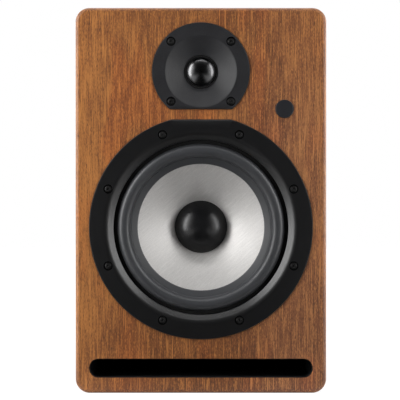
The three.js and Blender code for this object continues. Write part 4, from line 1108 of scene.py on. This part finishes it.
def place_screws(prefix, count, pattern, backwards=False):
    """A copy of the screw at each node of that name, each turned its own way."""
    home = Matrix.Translation((0, -FRONT, 0))
    flip = Matrix.Rotation(math.pi, 4, "Z") if backwards else Matrix.Identity(4)
    for i in range(1, count + 1):
        node = f"{prefix}_{i}"
        low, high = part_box(node)
        at = middle(node)
        at.y = high.y if backwards else low.y
        turn = Matrix.Rotation(math.radians(ODD_TURN * i * i % 90), 4, "Y")
        place = Matrix.Translation(at) @ flip @ turn @ home
        screw = copied(pattern, node.replace("_screw", "_pan_screw"), place)
        finish_piece(screw, "cabinet", "black_screw", node)


def make_screws():
    """All sixteen screws."""
    pattern = screw_pattern(SCREW_LENGTH)
    place_screws("woofer_screw", 8, pattern)
    place_screws("tweeter_screw", 4, pattern)
    drop(pattern)
    short = screw_pattern(SHORT_SCREW_LENGTH)
    place_screws("terminal_screw", 4, short, True)
    drop(short)


def well_tool(at, face, bottom, steps=48):
    """The cutter for a screw's counterbore, flared a little at its mouth."""
    inward = 1 if bottom > face else -1
    start = face - inward * MM
    outline = [(0, start), (WELL_RADIUS + WELL_FLARE + MM, start), (WELL_RADIUS, face + inward * WELL_FLARE),
               (WELL_RADIUS, bottom), (0, bottom)]
    return turned("well_tool", outline, at.x, at.z, steps)


def cut_wells(body, prefix, count, face, bottom, steps=48):
    """Counterbores at each screw of that name."""
    for i in range(1, count + 1):
        cut(body, well_tool(middle(f"{prefix}_{i}"), face, bottom, steps))


def paint_well_shade(body, prefix, count, face):
    """Gives the insides of the counterbores the piece's second material, a near-black painted shade."""
    front, back = FRONT + face + 0.1 * MM, FRONT + face + 4.1 * MM
    reach = WELL_RADIUS + FIT_GAP
    for i in range(1, count + 1):
        well = middle(f"{prefix}_{i}")
        paint_faces(body, 1, lambda at, normal: front < at.y < back and math.hypot(
            at.x - well.x, at.z - well.z) < reach)


# ---------------------------------------------------------------------------------------------------
# Woofer


def frame_sizes(woofer):
    """Radii and depths that the frame, the surround and the cone share."""
    face = BASKET[0].y - FRONT
    outer = woofer.frame_radius - woofer.frame_face
    inner = outer - woofer.bevel_width
    ledge = face + woofer.bevel_depth + LEDGE_DROP
    roll_outer = inner - ROLL_INSET
    roll_inner = roll_outer - woofer.roll_width
    return SimpleNamespace(
        face=face, bevel_outer=outer, bevel_inner=inner, ledge=ledge, roll_outer=roll_outer,
        roll_inner=roll_inner, cone_edge=roll_inner - FIT_GAP,
        cone_neck=radius_of("voice_coil_former") + FIT_GAP, cone_front=ledge + CONE_SETBACK,
    )


def cone_depth(woofer, sizes, radius):
    """Depth of the cone's front face at a radius."""
    part = (sizes.cone_edge - radius) / (sizes.cone_edge - sizes.cone_neck)
    return sizes.cone_front + woofer.cone_depth * part - 4 * woofer.cone_bow * part * (1 - part)


def flange_outline(radius, face, back, foot):
    """A round flange's outline, from its back round its outer edge to the foot of its face."""
    chamfer = 0.4 * MM
    return softened([
        (radius, back, 0),
        (radius, face + chamfer, 0.1 * MM),
        (radius - chamfer, face, 0.1 * MM),
        (foot + 0.3 * MM, face, 0),
    ])


def frame_rim(woofer, s, ledge_back):
    """The frame's turned rim, with its flat, its rounded inner edge and its screws' counterbores."""
    back = s.face + FRAME_THICKNESS
    tub = s.bevel_inner + TUB_WALL
    lip = s.roll_outer - 0.9 * MM
    outline = flange_outline(woofer.frame_radius, s.face, back, s.bevel_outer)
    curve, slope = woofer.bevel_curve, woofer.bevel_slope
    outline += arc((s.bevel_outer, s.face + curve), curve, 90, 90 + slope, 14)
    run = outline[-1][0] - s.bevel_inner
    foot = outline[-1][1] + run * math.tan(math.radians(slope))
    outline += [(s.bevel_inner, foot), (s.bevel_inner, s.ledge), (lip, s.ledge), (lip, ledge_back),
                (tub, ledge_back), (tub, back)]
    rim = turned("woofer_frame", outline, z=WOOFER_Z, steps=ROUND)
    cut_chord(rim, s.face, WOOFER_Z + WOOFER_FLAT, 1, 0.8 * MM)
    cut_wells(rim, "woofer_screw", 8, s.face, WELL_BOTTOM)
    return tidy(rim, SHARP)


def basket_rear(start):
    """The frame's own spokes and foot from a depth on, with their cut ends closed."""
    rear = bpy.data.objects.new("basket_rear", frame["nodes"]["woofer_basket"].data.copy())
    bpy.context.scene.collection.objects.link(rear)
    rear.data.materials.clear()
    edit(rear, "VERT")
    bpy.ops.mesh.select_all(action="SELECT")
    bpy.ops.mesh.remove_doubles(threshold=HAIR)
    bpy.ops.mesh.select_all(action="SELECT")
    bpy.ops.mesh.bisect(plane_co=(0, start, 0), plane_no=(0, -1, 0), clear_outer=True)
    bpy.ops.mesh.select_mode(type="EDGE")

    def sixth(at):
        return round(math.atan2(at.z - WOOFER_Z, at.x) / (TURN / 6)) % 6

    for spoke in range(6):
        bpy.ops.mesh.select_all(action="DESELECT")
        pick_edges(rear, lambda a, b: max(a.y, b.y) < start + 1e-6 and sixth(a) == sixth(b) == spoke)
        bpy.ops.mesh.edge_face_add()
    only()
    return rear


def make_frame(woofer):
    """The cast frame: its turned rim, and the spokes and foot behind."""
    s = frame_sizes(woofer)
    ledge_back = s.ledge + LEDGE_THICKNESS
    rim = frame_rim(woofer, s, ledge_back)
    rear = basket_rear(FRONT + ledge_back + 0.05 * MM)
    only(rim)
    rear.select_set(True)
    bpy.ops.object.join()
    bpy.ops.object.shade_smooth_by_angle(angle=math.radians(SHARP))
    clothe(rim, "cast_frame", "well_painted_shade")
    paint_well_shade(rim, "woofer_screw", 8, s.face)
    finish_piece(rim, "cabinet", "cast_frame", "woofer_basket")


def surround_outline(woofer, s):
    """The rubber's section: its flange on the ledge, its half roll and its flange on the cone."""
    thick = ROLL_THICKNESS
    seat = s.ledge - thick
    centre = ((s.roll_outer + s.roll_inner) / 2, seat)
    half = woofer.roll_width / 2
    outer = s.bevel_inner - 0.4 * MM
    lap = s.roll_inner - woofer.surround_lap
    # Points on the cone's flange, out to in: (radius, height above the cone).
    on_cone = [
        (s.roll_inner - 0.8 * MM, thick - 0.1 * MM), (s.roll_inner - 1.2 * MM, thick + 0.15 * MM),
        (lap + 1.0 * MM, thick), (lap + 0.3 * MM, thick - 0.1 * MM), (lap, 0.5 * thick), (lap, 0),
        (s.roll_inner, 0),
    ]
    outline = [(outer, s.ledge), (outer, seat + 0.2 * MM), (outer - 0.2 * MM, seat)]
    outline += arc(centre, half, 0, 180, 28)
    outline += [(s.roll_inner - 0.25 * MM, seat + 0.5 * MM)]
    outline += [(radius, cone_depth(woofer, s, radius) - FIT_GAP - lift) for radius, lift in on_cone]
    outline += arc(centre, half - thick, 180, 0, 20)
    return outline + [(s.roll_outer - thick, s.ledge)]


def make_surround(woofer):
    """The rubber half roll with its two flanges."""
    s = frame_sizes(woofer)
    ring = turned("woofer_roll", surround_outline(woofer, s), z=WOOFER_Z, steps=ROUND)
    # Painted shade: the outer flange, in the gap under the frame's inner edge, gets the near-black dome
    # suspension finish.
    clothe(ring, "surround_rubber", "dome_roll")
    rim = s.roll_outer - 0.2 * MM
    paint_faces(ring, 1, lambda at, normal: math.hypot(at.x, at.z - WOOFER_Z) > rim)
    finish_blend(ring, "surround_rubber",
                 "woofer_surround")


def make_cone(woofer):
    """The pressed cone."""
    s = frame_sizes(woofer)
    steps = 24
    radii = [s.cone_edge + (s.cone_neck - s.cone_edge) * i / steps for i in range(steps + 1)]
    front = [(radius, cone_depth(woofer, s, radius)) for radius in radii]
    back = [(radius, depth + CONE_THICKNESS) for radius, depth in reversed(front)]
    cone = turned("woofer_cone_skin", front + back, z=WOOFER_Z, steps=ROUND)
    finish_piece(cone, "woofer_moving", "cone_fibre", "woofer_cone")


def shell(radius, height, thick, foot, edge, steps):
    """Outline of a thin round crown: outside, down its edge, and back inside."""
    inside = crown(radius - thick, height - thick, foot, steps[1])
    return [*crown(radius, height, foot, steps[0]), *edge, *reversed(inside)]


def make_cap(woofer):
    """The dust cap: a round crown on a small rolled foot."""
    s = frame_sizes(woofer)
    radius = woofer.cap_radius
    foot = cone_depth(woofer, s, radius) - FIT_GAP
    rim = foot - 1.2 * MM
    flare = radius + 0.8 * MM
    edge = [(radius + 0.25 * MM, rim + 0.5 * MM), (flare, cone_depth(woofer, s, flare) - 0.1 * MM),
            (radius - CAP_THICKNESS, foot)]
    outline = shell(radius, woofer.cap_height, CAP_THICKNESS, rim, edge, (24, 16))
    cap = turned("woofer_cap", outline, z=WOOFER_Z, steps=128)
    finish_piece(cap, "woofer_moving", "cap_black", "woofer_dust_cap")


def make_spider():
    """The cloth spider with its waves."""
    outer = radius_of("woofer_spider")
    inner = radius_of("voice_coil_former") + FIT_GAP
    shelf = 46.3 * MM
    flange, thick, wave, waves = 5 * MM, 0.7 * MM, 1.6 * MM, 3
    rise = outer - flange
    steps = 16 * waves
    front = []
    for i in range(steps + 1):
        part = i / steps
        fade = min(1.0, 6 * part, 6 * (1 - part))
        front.append((rise + (inner - rise) * part,
                      shelf - thick - wave * fade * math.sin(TURN * waves * part)))
    back = [(radius, depth + thick) for radius, depth in reversed(front)]
    outline = [(outer, shelf), (outer, shelf - thick), *front, *back]
    ring = turned("woofer_centring", outline, z=WOOFER_Z, steps=96)
    finish_blend(ring, "spider_cloth", "woofer_spider")


# ---------------------------------------------------------------------------------------------------
# Tweeter


def make_plate(tweeter):
    """The moulded plate with its waveguide."""
    face = PLATE[0].y - FRONT
    back = face + PLATE_THICKNESS
    mouth, throat, deep = tweeter.horn_radius, tweeter.throat_radius, tweeter.horn_depth
    boss, boss_back = mouth - 1.8 * MM, face + deep + MM
    hollow, steps = 0.3 * MM, 20
    outline = flange_outline(tweeter.plate_radius, face, back, mouth)
    for i in range(steps + 1):
        t = i / steps
        blend_in = min(1.0, t / 0.12)
        depth = face + deep * t + 4 * hollow * t * (1 - t) * blend_in
        outline.append((mouth + (throat - mouth) * t, depth))
    outline += [(throat, boss_back), (boss, boss_back), (boss, back)]
    plate = turned("tweeter_plate", outline, z=TWEETER_Z, steps=160)
    cut_chord(plate, face, TWEETER_Z - TWEETER_FLAT, -1, 0.7 * MM)
    cut_wells(plate, "tweeter_screw", 4, face, WELL_BOTTOM)
    tidy(plate, SHARP)
    clothe(plate, "tweeter_plate", "well_painted_shade")
    paint_well_shade(plate, "tweeter_screw", 4, face)
    finish_piece(plate, "cabinet", "tweeter_plate", "tweeter_faceplate")


def make_dome(tweeter):
    """The metal dome."""
    low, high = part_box("tweeter_dome")
    foot = high.y - FRONT
    base = low.y - FRONT + tweeter.dome_height
    radius = tweeter.dome_radius
    edge = [(radius, foot), (radius - DOME_THICKNESS, foot)]
    outline = shell(radius, tweeter.dome_height, DOME_THICKNESS, base, edge, (28, 20))
    dome = turned("tweeter_dome_skin", outline, z=TWEETER_Z, steps=128)
    finish_piece(dome, "tweeter_moving", "dome_metal", "tweeter_dome")


def make_dome_roll(tweeter):
    """The dome's own small half roll."""
    thick = DOME_THICKNESS
    flange = radius_of("tweeter_surround")
    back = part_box("tweeter_surround")[1].y - FRONT
    seat = back - thick
    outer = tweeter.throat_radius - 0.15 * MM
    inner = tweeter.dome_radius + FIT_GAP
    centre, half = (outer + inner) / 2, (outer - inner) / 2
    outline = [(flange, back), (flange, seat)]
    outline += arc((centre, seat), half, 0, 180, 16)
    outline += [(inner, back)]
    outline += arc((centre, back), half - thick, 180, 0, 10)
    ring = turned("tweeter_roll", outline, z=TWEETER_Z, steps=128)
    finish_blend(ring, "dome_roll", "tweeter_surround")


# ---------------------------------------------------------------------------------------------------
# Terminals


def cup_block(name, size, corner, front, back, segments, lean):
    """A rounded block on the cup's axis, its front end drawn in."""
    body = slab(name, *size, corner, front, back, z=CUP_Z, segments=segments)
    scale_end(body, -1, lean)
    return body


def make_cup(terminals):
    """The moulded cup with its tapered recess."""
    low, high = CUP
    size = (high.x - low.x, high.z - low.z)
    mouth = [side - 2 * terminals.cup_border for side in size]
    around = [side + 2 * CUP_WALL for side in mouth]
    lean = (1 - 2 * CUP_TAPER / mouth[0], 1, 1 - 2 * CUP_TAPER / mouth[1])
    seat, face = REAR[1].y, high.y
    floor = face - terminals.cup_depth
    body = slab("cup", *size, terminals.cup_corner, seat, face, z=CUP_Z, segments=10)
    ease(body, 0.9 * MM, lambda a, b: min(a.y, b.y) > face - HAIR, 4)
    fuse(body, cup_block("shell", around, RECESS_CORNER + CUP_WALL, low.y, seat + MM, 8, lean))
    hollow = cup_block("hollow_tool", mouth, RECESS_CORNER, floor, face + MM, 10, lean)
    ease(hollow, 1.5 * MM, lambda a, b: max(a.y, b.y) < floor + HAIR, 5)
    cut(body, hollow)
    for colour_name in POST_COLOURS:
        at = middle(f"post_stud_{colour_name}")
        cut(body, round_tool(POST_HOLE_RADIUS, at.z, at.x, low.y - FRONT - MM, floor - FRONT + MM, 40))
    cut_wells(body, "terminal_screw", 4, face - FRONT, face - FRONT - CUP_WELL_DEPTH, 40)
    tidy(body, SHARP)
    finish_piece(body, "cabinet", "cup_plastic", "terminal_cup")


def wire_hole_tool(x, depth, z):
    """The cutter for the hole across a post's stud."""
    half = 4 * MM
    tool = turned("hole_tool", [(0, -half), (WIRE_HOLE_RADIUS, -half), (WIRE_HOLE_RADIUS, half), (0, half)],
                  steps=32)
    centred = Matrix.Rotation(math.pi / 2, 4, "Z") @ Matrix.Translation((0, -FRONT, 0))
    tool.data.transform(Matrix.Translation((x, FRONT + depth, z)) @ centred)
    return tool


def make_stud(colour_name, terminals):
    """A post's gilt stud with its collar, its socket for a plug, its cross hole and its back nut."""
    node = f"post_stud_{colour_name}"
    low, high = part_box(node)
    at = middle(node)
    floor = CUP[1].y - terminals.cup_depth - FRONT
    tip, tail = high.y - FRONT, low.y - FRONT
    shaft, socket, collar, socket_depth = 3 * MM, 2.05 * MM, 7.5 * MM, 18 * MM
    collar_face = floor + POST_COLLAR_LENGTH
    outline = softened([
        (0, tail, 0), (shaft, tail, 0.6 * MM), (shaft, floor, 0), (collar, floor, 0),
        (collar, collar_face, 0.6 * MM), (shaft, collar_face, 0.2 * MM), (shaft, tip, 0.4 * MM),
        (socket, tip, 0.4 * MM), (socket, tip - socket_depth, 0), (0, tip - socket_depth - 0.8 * MM, 0),
    ])
    stud = turned(f"post_body_{colour_name}", outline, at.x, at.z, 64)
    nut_radius, nut_face = 6 * MM, CUP[0].y - FRONT
    nut_back = nut_face - 4 * MM
    nut_outline = [(0, nut_back), (nut_radius, nut_back), (nut_radius, nut_face), (0, nut_face)]
    fuse(stud, turned("back_nut", nut_outline, at.x, at.z, 6))
    cut(stud, wire_hole_tool(at.x, collar_face + 3 * MM, at.z))
    tidy(stud, SHARP)
    finish_piece(stud, "cabinet", "gold_contact", node)


def make_washer(colour_name):
    """A post's gilt washer."""
    node = f"post_washer_{colour_name}"
    at, outer = middle(node), radius_of(node)
    back, face = (corner.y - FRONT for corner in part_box(node))
    ring = turned(f"post_ring_{colour_name}", softened([
        (POST_HOLE_RADIUS, back, 0.15 * MM), (outer, back, 0.25 * MM),
        (outer, face, 0.25 * MM), (POST_HOLE_RADIUS, face, 0.15 * MM),
    ]), at.x, at.z, 64)
    finish_piece(ring, f"washer_{colour_name}", "gold_contact", node)


def flute_tools(x, z, reach, radius, start, end):
    """The cutter for all the flutes round a nut, each with a pointed foot at the nut's collar."""
    outline = [(0, start + 0.6 * MM), (radius * 0.7, start), (radius, start + 0.8 * MM),
               (radius, end + 2 * MM), (0, end + 2 * MM)]
    flute = turned("flute_tool", outline, x + reach, z, 24)
    edit(flute)
    bpy.ops.mesh.select_all(action="SELECT")
    bpy.ops.mesh.spin(steps=11, angle=TURN * 11 / 12, center=(x, 0, z), axis=(0, 1, 0), dupli=True)
    only(flute)
    return flute


def make_nut(colour_name, terminals):
    """A post's fluted nut."""
    node = f"post_nut_{colour_name}"
    at, radius = middle(node), radius_of(node)
    start, end = (corner.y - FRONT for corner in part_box(node))
    collar, flute, bore = 3 * MM, terminals.flute_radius, POST_HOLE_RADIUS
    outline = softened([
        (bore, start, 0.2 * MM), (radius, start, 0.4 * MM), (radius, end, 1.1 * MM), (bore, end, 0.3 * MM),
    ])
    nut = turned(f"post_grip_{colour_name}", outline, at.x, at.z, 120)
    cut(nut, flute_tools(at.x, at.z, radius + flute - 0.6 * MM, flute, start + collar, end))
    tidy(nut, SHARP)
    finish_piece(nut, f"nut_{colour_name}", f"nut_{colour_name}", node)


# ---------------------------------------------------------------------------------------------------
# Stage


def softbox(name, direction, size, power, distance=1.0):
    """A rectangular soft lamp that looks at the middle of the front."""
    aim = Vector((0, FRONT, HEIGHT / 2))
    back = Vector(direction).normalized()
    lamp = bpy.data.lights.new(name, "AREA")
    lamp.shape = "RECTANGLE"
    lamp.size, lamp.size_y = size
    lamp.energy = power
    obj = bpy.data.objects.new(name, lamp)
    obj.location = aim + back * distance
    obj.rotation_mode = "QUATERNION"
    obj.rotation_quaternion = back.to_track_quat("Z", "Y")
    bpy.context.scene.collection.objects.link(obj)


def background_rays(tree):
    """Whether a ray looks straight at the surroundings, and whether it mirrors them."""
    path = tree.nodes.new("ShaderNodeLightPath").outputs
    seen = maths(tree, "MAXIMUM", path["Is Camera Ray"], path["Is Transmission Ray"])
    return seen, path["Is Glossy Ray"]


def make_world(stage):
    """A white surround, which mirroring pieces see behind the object only, and dim light in the room."""
    world = bpy.data.worlds.new("Studio")
    bpy.context.scene.world = world
    world.use_nodes = True
    tree = world.node_tree
    tree.nodes.clear()
    seen, mirrored = background_rays(tree)
    way = put(tree, "ShaderNodeSeparateXYZ", Vector=tree.nodes.new("ShaderNodeTexCoord").outputs["Object"])
    behind = spread(tree, way.outputs[1], 0.2, 0.6)
    white = maths(tree, "MAXIMUM", seen, maths(tree, "MULTIPLY", mirrored, behind))
    room = maths(tree, "MULTIPLY", maths(tree, "SUBTRACT", 1.0, mirrored), stage.ambient)
    strength = maths(tree, "MAXIMUM", white, maths(tree, "MAXIMUM", room, 0.006))
    surround = put(tree, "ShaderNodeBackground", Color=(1, 1, 1), Strength=strength)
    out = tree.nodes.new("ShaderNodeOutputWorld")
    tree.links.new(surround.outputs[0], out.inputs["Surface"])


def make_floor(stage):
    """A pale floor that shows white and keeps the shadow."""
    only()
    bpy.ops.mesh.primitive_plane_add(size=8)
    floor = named("studio_floor")
    material, tree, at = new_material("Pale floor")
    tree.nodes.remove(tree.nodes["Principled BSDF"])
    seen = background_rays(tree)[0]
    way = put(tree, "ShaderNodeSeparateXYZ", Vector=at).outputs
    # Only the part right in front of the box is dark: it fades out to the sides and towards the box.
    beside = spread(tree, maths(tree, "ABSOLUTE", way[0]), 0.6 * WIDTH, 1.2 * WIDTH)
    shown = maths(tree, "MAXIMUM", beside, spread(tree, way[1], FRONT - 90 * MM, FRONT - 30 * MM))
    shown = maths(tree, "MAXIMUM", shown, seen)
    pale = tuple(stage.floor_colour)
    grain = fine_grain(tree, at, 2, 0.3)
    dim = tuple(c * 0.95 for c in pale)
    own = blend_colours(tree, maths(tree, "MULTIPLY", grain["Cloud"], 0.1), pale, dim)
    matt = put(tree, "ShaderNodeBsdfDiffuse", Color=blend_colours(tree, shown, (0.01, 0.01, 0.01), own))
    bright = put(tree, "ShaderNodeEmission", Color=(1, 1, 1), Strength=1.1)
    both = tree.nodes.new("ShaderNodeMixShader")
    away = put(tree, "ShaderNodeVectorMath", {"operation": "LENGTH"}, Vector=at).outputs["Value"]
    white = spread(tree, away, 0.2, 0.5, stage.floor_white, 1.0)
    for socket, value in zip(both.inputs, (maths(tree, "MULTIPLY", seen, white), matt.outputs[0],
                                           bright.outputs[0])):
        feed(tree, socket, value)
    tree.links.new(both.outputs[0], tree.nodes["Material Output"].inputs["Surface"])
    floor.data.materials.append(material)


def make_camera(stage):
    """A long lens in front, almost level."""
    data = bpy.data.cameras.new("Camera")
    camera = bpy.data.objects.new("Camera", data)
    bpy.context.scene.collection.objects.link(camera)
    bpy.context.scene.camera = camera
    pitch = math.radians(stage.camera_pitch)
    sensor = 36.0
    data.sensor_width = sensor
    data.lens = sensor * stage.camera_distance / stage.view_width
    data.clip_end = 50.0
    aim = Vector((-stage.aim_side, FRONT, stage.aim_height))
    camera.location = aim + stage.camera_distance * Vector((0, -math.cos(pitch), math.sin(pitch)))
    camera.rotation_euler = (math.pi / 2 - pitch, 0, 0)


def make_stage(stage):
    """Camera, floor, room and lamps."""
    scene = bpy.context.scene
    scene.view_settings.view_transform = "Standard"
    make_camera(stage)
    make_floor(stage)
    make_world(stage)
    softbox("Left softbox", (-0.91, -0.41, 0.3), (0.22, 1.1), stage.left_power)
    softbox("Right softbox", (0.92, -0.38, 0.3), (0.22, 1.1), stage.right_power)
    softbox("Left fill", (-0.79, -0.61, 0.3), (0.3, 0.8), stage.fill_power)
    softbox("Right fill", (0.79, -0.61, 0.3), (0.3, 0.8), 0.8 * stage.fill_power)
    softbox("Top softbox", (0, -0.24, 1.0), (1.3, 0.1), stage.top_power)
    softbox("Left edge lamp", (-0.91, 0.42, 0.3), (0.2, 0.7), stage.edge_power)
    softbox("Right edge lamp", (0.91, 0.42, 0.2), (0.2, 0.6), stage.edge_power)
    softbox("Top edge lamp", (0, 0.5, 0.95), (0.7, 0.2), stage.edge_power / 2)
    softbox("Rear softbox", (0.3, 1.0, 0.5), (1.2, 1.2), stage.rear_power, 1.6)


# ---------------------------------------------------------------------------------------------------
# Operators, panel and registration


def finish_nodes():
    """Gives each node that stays in view the finish of its slot."""
    for name, obj in frame["nodes"].items():
        if obj.hide_render:
            continue
        clothe(obj, "duct_shelf" if name == "port_shelf" else SLOT_OF[name])


class SPEAKER_OT_materials(bpy.types.Operator):
    """Make the finishes"""

    bl_idname = "speaker.materials"
    bl_label = "Finishes"

    def execute(self, context):
        make_materials(context.scene)
        return {"FINISHED"}


class SPEAKER_OT_baffle(bpy.types.Operator):
    """Make the front baffle"""

    bl_idname = "speaker.baffle"
    bl_label = "Front baffle"

    def execute(self, context):
        scene = context.scene
        make_baffle(scene.speaker_cabinet, scene.speaker_woofer, scene.speaker_tweeter)
        return {"FINISHED"}


class SPEAKER_OT_sleeve(bpy.types.Operator):
    """Make the sides, top and bottom"""

    bl_idname = "speaker.sleeve"
    bl_label = "Box sleeve"

    def execute(self, context):
        make_sleeve(context.scene.speaker_cabinet)
        return {"FINISHED"}


class SPEAKER_OT_badge(bpy.types.Operator):
    """Make the plain badge"""

    bl_idname = "speaker.badge"
    bl_label = "Badge"

    def execute(self, context):
        make_badge()
        return {"FINISHED"}


class SPEAKER_OT_woofer_frame(bpy.types.Operator):
    """Make the woofer's cast frame"""

    bl_idname = "speaker.woofer_frame"
    bl_label = "Woofer frame"

    def execute(self, context):
        make_frame(context.scene.speaker_woofer)
        return {"FINISHED"}


class SPEAKER_OT_woofer_moving(bpy.types.Operator):
    """Make the woofer's cone, cap, surround and spider"""

    bl_idname = "speaker.woofer_moving"
    bl_label = "Woofer cone and suspension"

    def execute(self, context):
        woofer = context.scene.speaker_woofer
        make_surround(woofer)
        make_cone(woofer)
        make_cap(woofer)
        make_spider()
        return {"FINISHED"}


class SPEAKER_OT_tweeter(bpy.types.Operator):
    """Make the tweeter's plate, dome and suspension"""

    bl_idname = "speaker.tweeter"
    bl_label = "Tweeter"

    def execute(self, context):
        tweeter = context.scene.speaker_tweeter
        make_plate(tweeter)
        make_dome(tweeter)
        make_dome_roll(tweeter)
        return {"FINISHED"}


class SPEAKER_OT_screws(bpy.types.Operator):
    """Make the screws"""

    bl_idname = "speaker.screws"
    bl_label = "Screws"

    def execute(self, context):
        make_screws()
        return {"FINISHED"}


class SPEAKER_OT_terminals(bpy.types.Operator):
    """Make the terminal cup and its posts"""

    bl_idname = "speaker.terminals"
    bl_label = "Terminals"

    def execute(self, context):
        terminals = context.scene.speaker_terminals
        make_cup(terminals)
        for colour_name in POST_COLOURS:
            make_stud(colour_name, terminals)
            make_washer(colour_name)
            make_nut(colour_name, terminals)
        return {"FINISHED"}


class SPEAKER_OT_insides(bpy.types.Operator):
    """Finish what the box holds"""

    bl_idname = "speaker.insides"
    bl_label = "Insides"

    def execute(self, context):
        finish_nodes()
        return {"FINISHED"}


class SPEAKER_OT_stage(bpy.types.Operator):
    """Make the camera, floor and lamps"""

    bl_idname = "speaker.stage"
    bl_label = "Stage"

    def execute(self, context):
        make_stage(context.scene.speaker_stage)
        return {"FINISHED"}


class SPEAKER_PT_panel(bpy.types.Panel):
    """Lists the settings and the steps in order"""

    bl_idname = "SPEAKER_PT_panel"
    bl_label = "Bookshelf loudspeaker"
    bl_space_type = "VIEW_3D"
    bl_region_type = "UI"
    bl_category = "Speaker"

    def draw(self, context):
        layout = self.layout
        for step in STEPS:
            layout.operator(step.bl_idname)
        for prop, kind in SETTINGS.items():
            settings = getattr(context.scene, prop)
            part = layout.box()
            part.label(text=kind.__doc__)
            for key in kind.__annotations__:
                part.prop(settings, key)


STEPS = (
    SPEAKER_OT_materials,
    SPEAKER_OT_baffle,
    SPEAKER_OT_sleeve,
    SPEAKER_OT_badge,
    SPEAKER_OT_woofer_frame,
    SPEAKER_OT_woofer_moving,
    SPEAKER_OT_tweeter,
    SPEAKER_OT_screws,
    SPEAKER_OT_terminals,
    SPEAKER_OT_insides,
    SPEAKER_OT_stage,
)
SETTINGS = {
    "speaker_cabinet": CabinetSettings,
    "speaker_woofer": WooferSettings,
    "speaker_tweeter": TweeterSettings,
    "speaker_terminals": TerminalSettings,
    "speaker_stage": StageSettings,
}


def register():
    """Registers the settings, the steps and the panel."""
    for prop, kind in SETTINGS.items():
        bpy.utils.register_class(kind)
        setattr(bpy.types.Scene, prop, PointerProperty(type=kind))
    for kind in (*STEPS, SPEAKER_PT_panel):
        bpy.utils.register_class(kind)


def unregister():
    """Takes away what register adds, in reverse."""
    for kind in reversed((*STEPS, SPEAKER_PT_panel)):
        bpy.utils.unregister_class(kind)
    for prop, kind in reversed(SETTINGS.items()):
        delattr(bpy.types.Scene, prop)
        bpy.utils.unregister_class(kind)


def main():
    """Runs every step in order."""
    register()
    for step in STEPS:
        category, name = step.bl_idname.split(".")
        getattr(getattr(bpy.ops, category), name)()


if __name__ == "__main__":
    main()
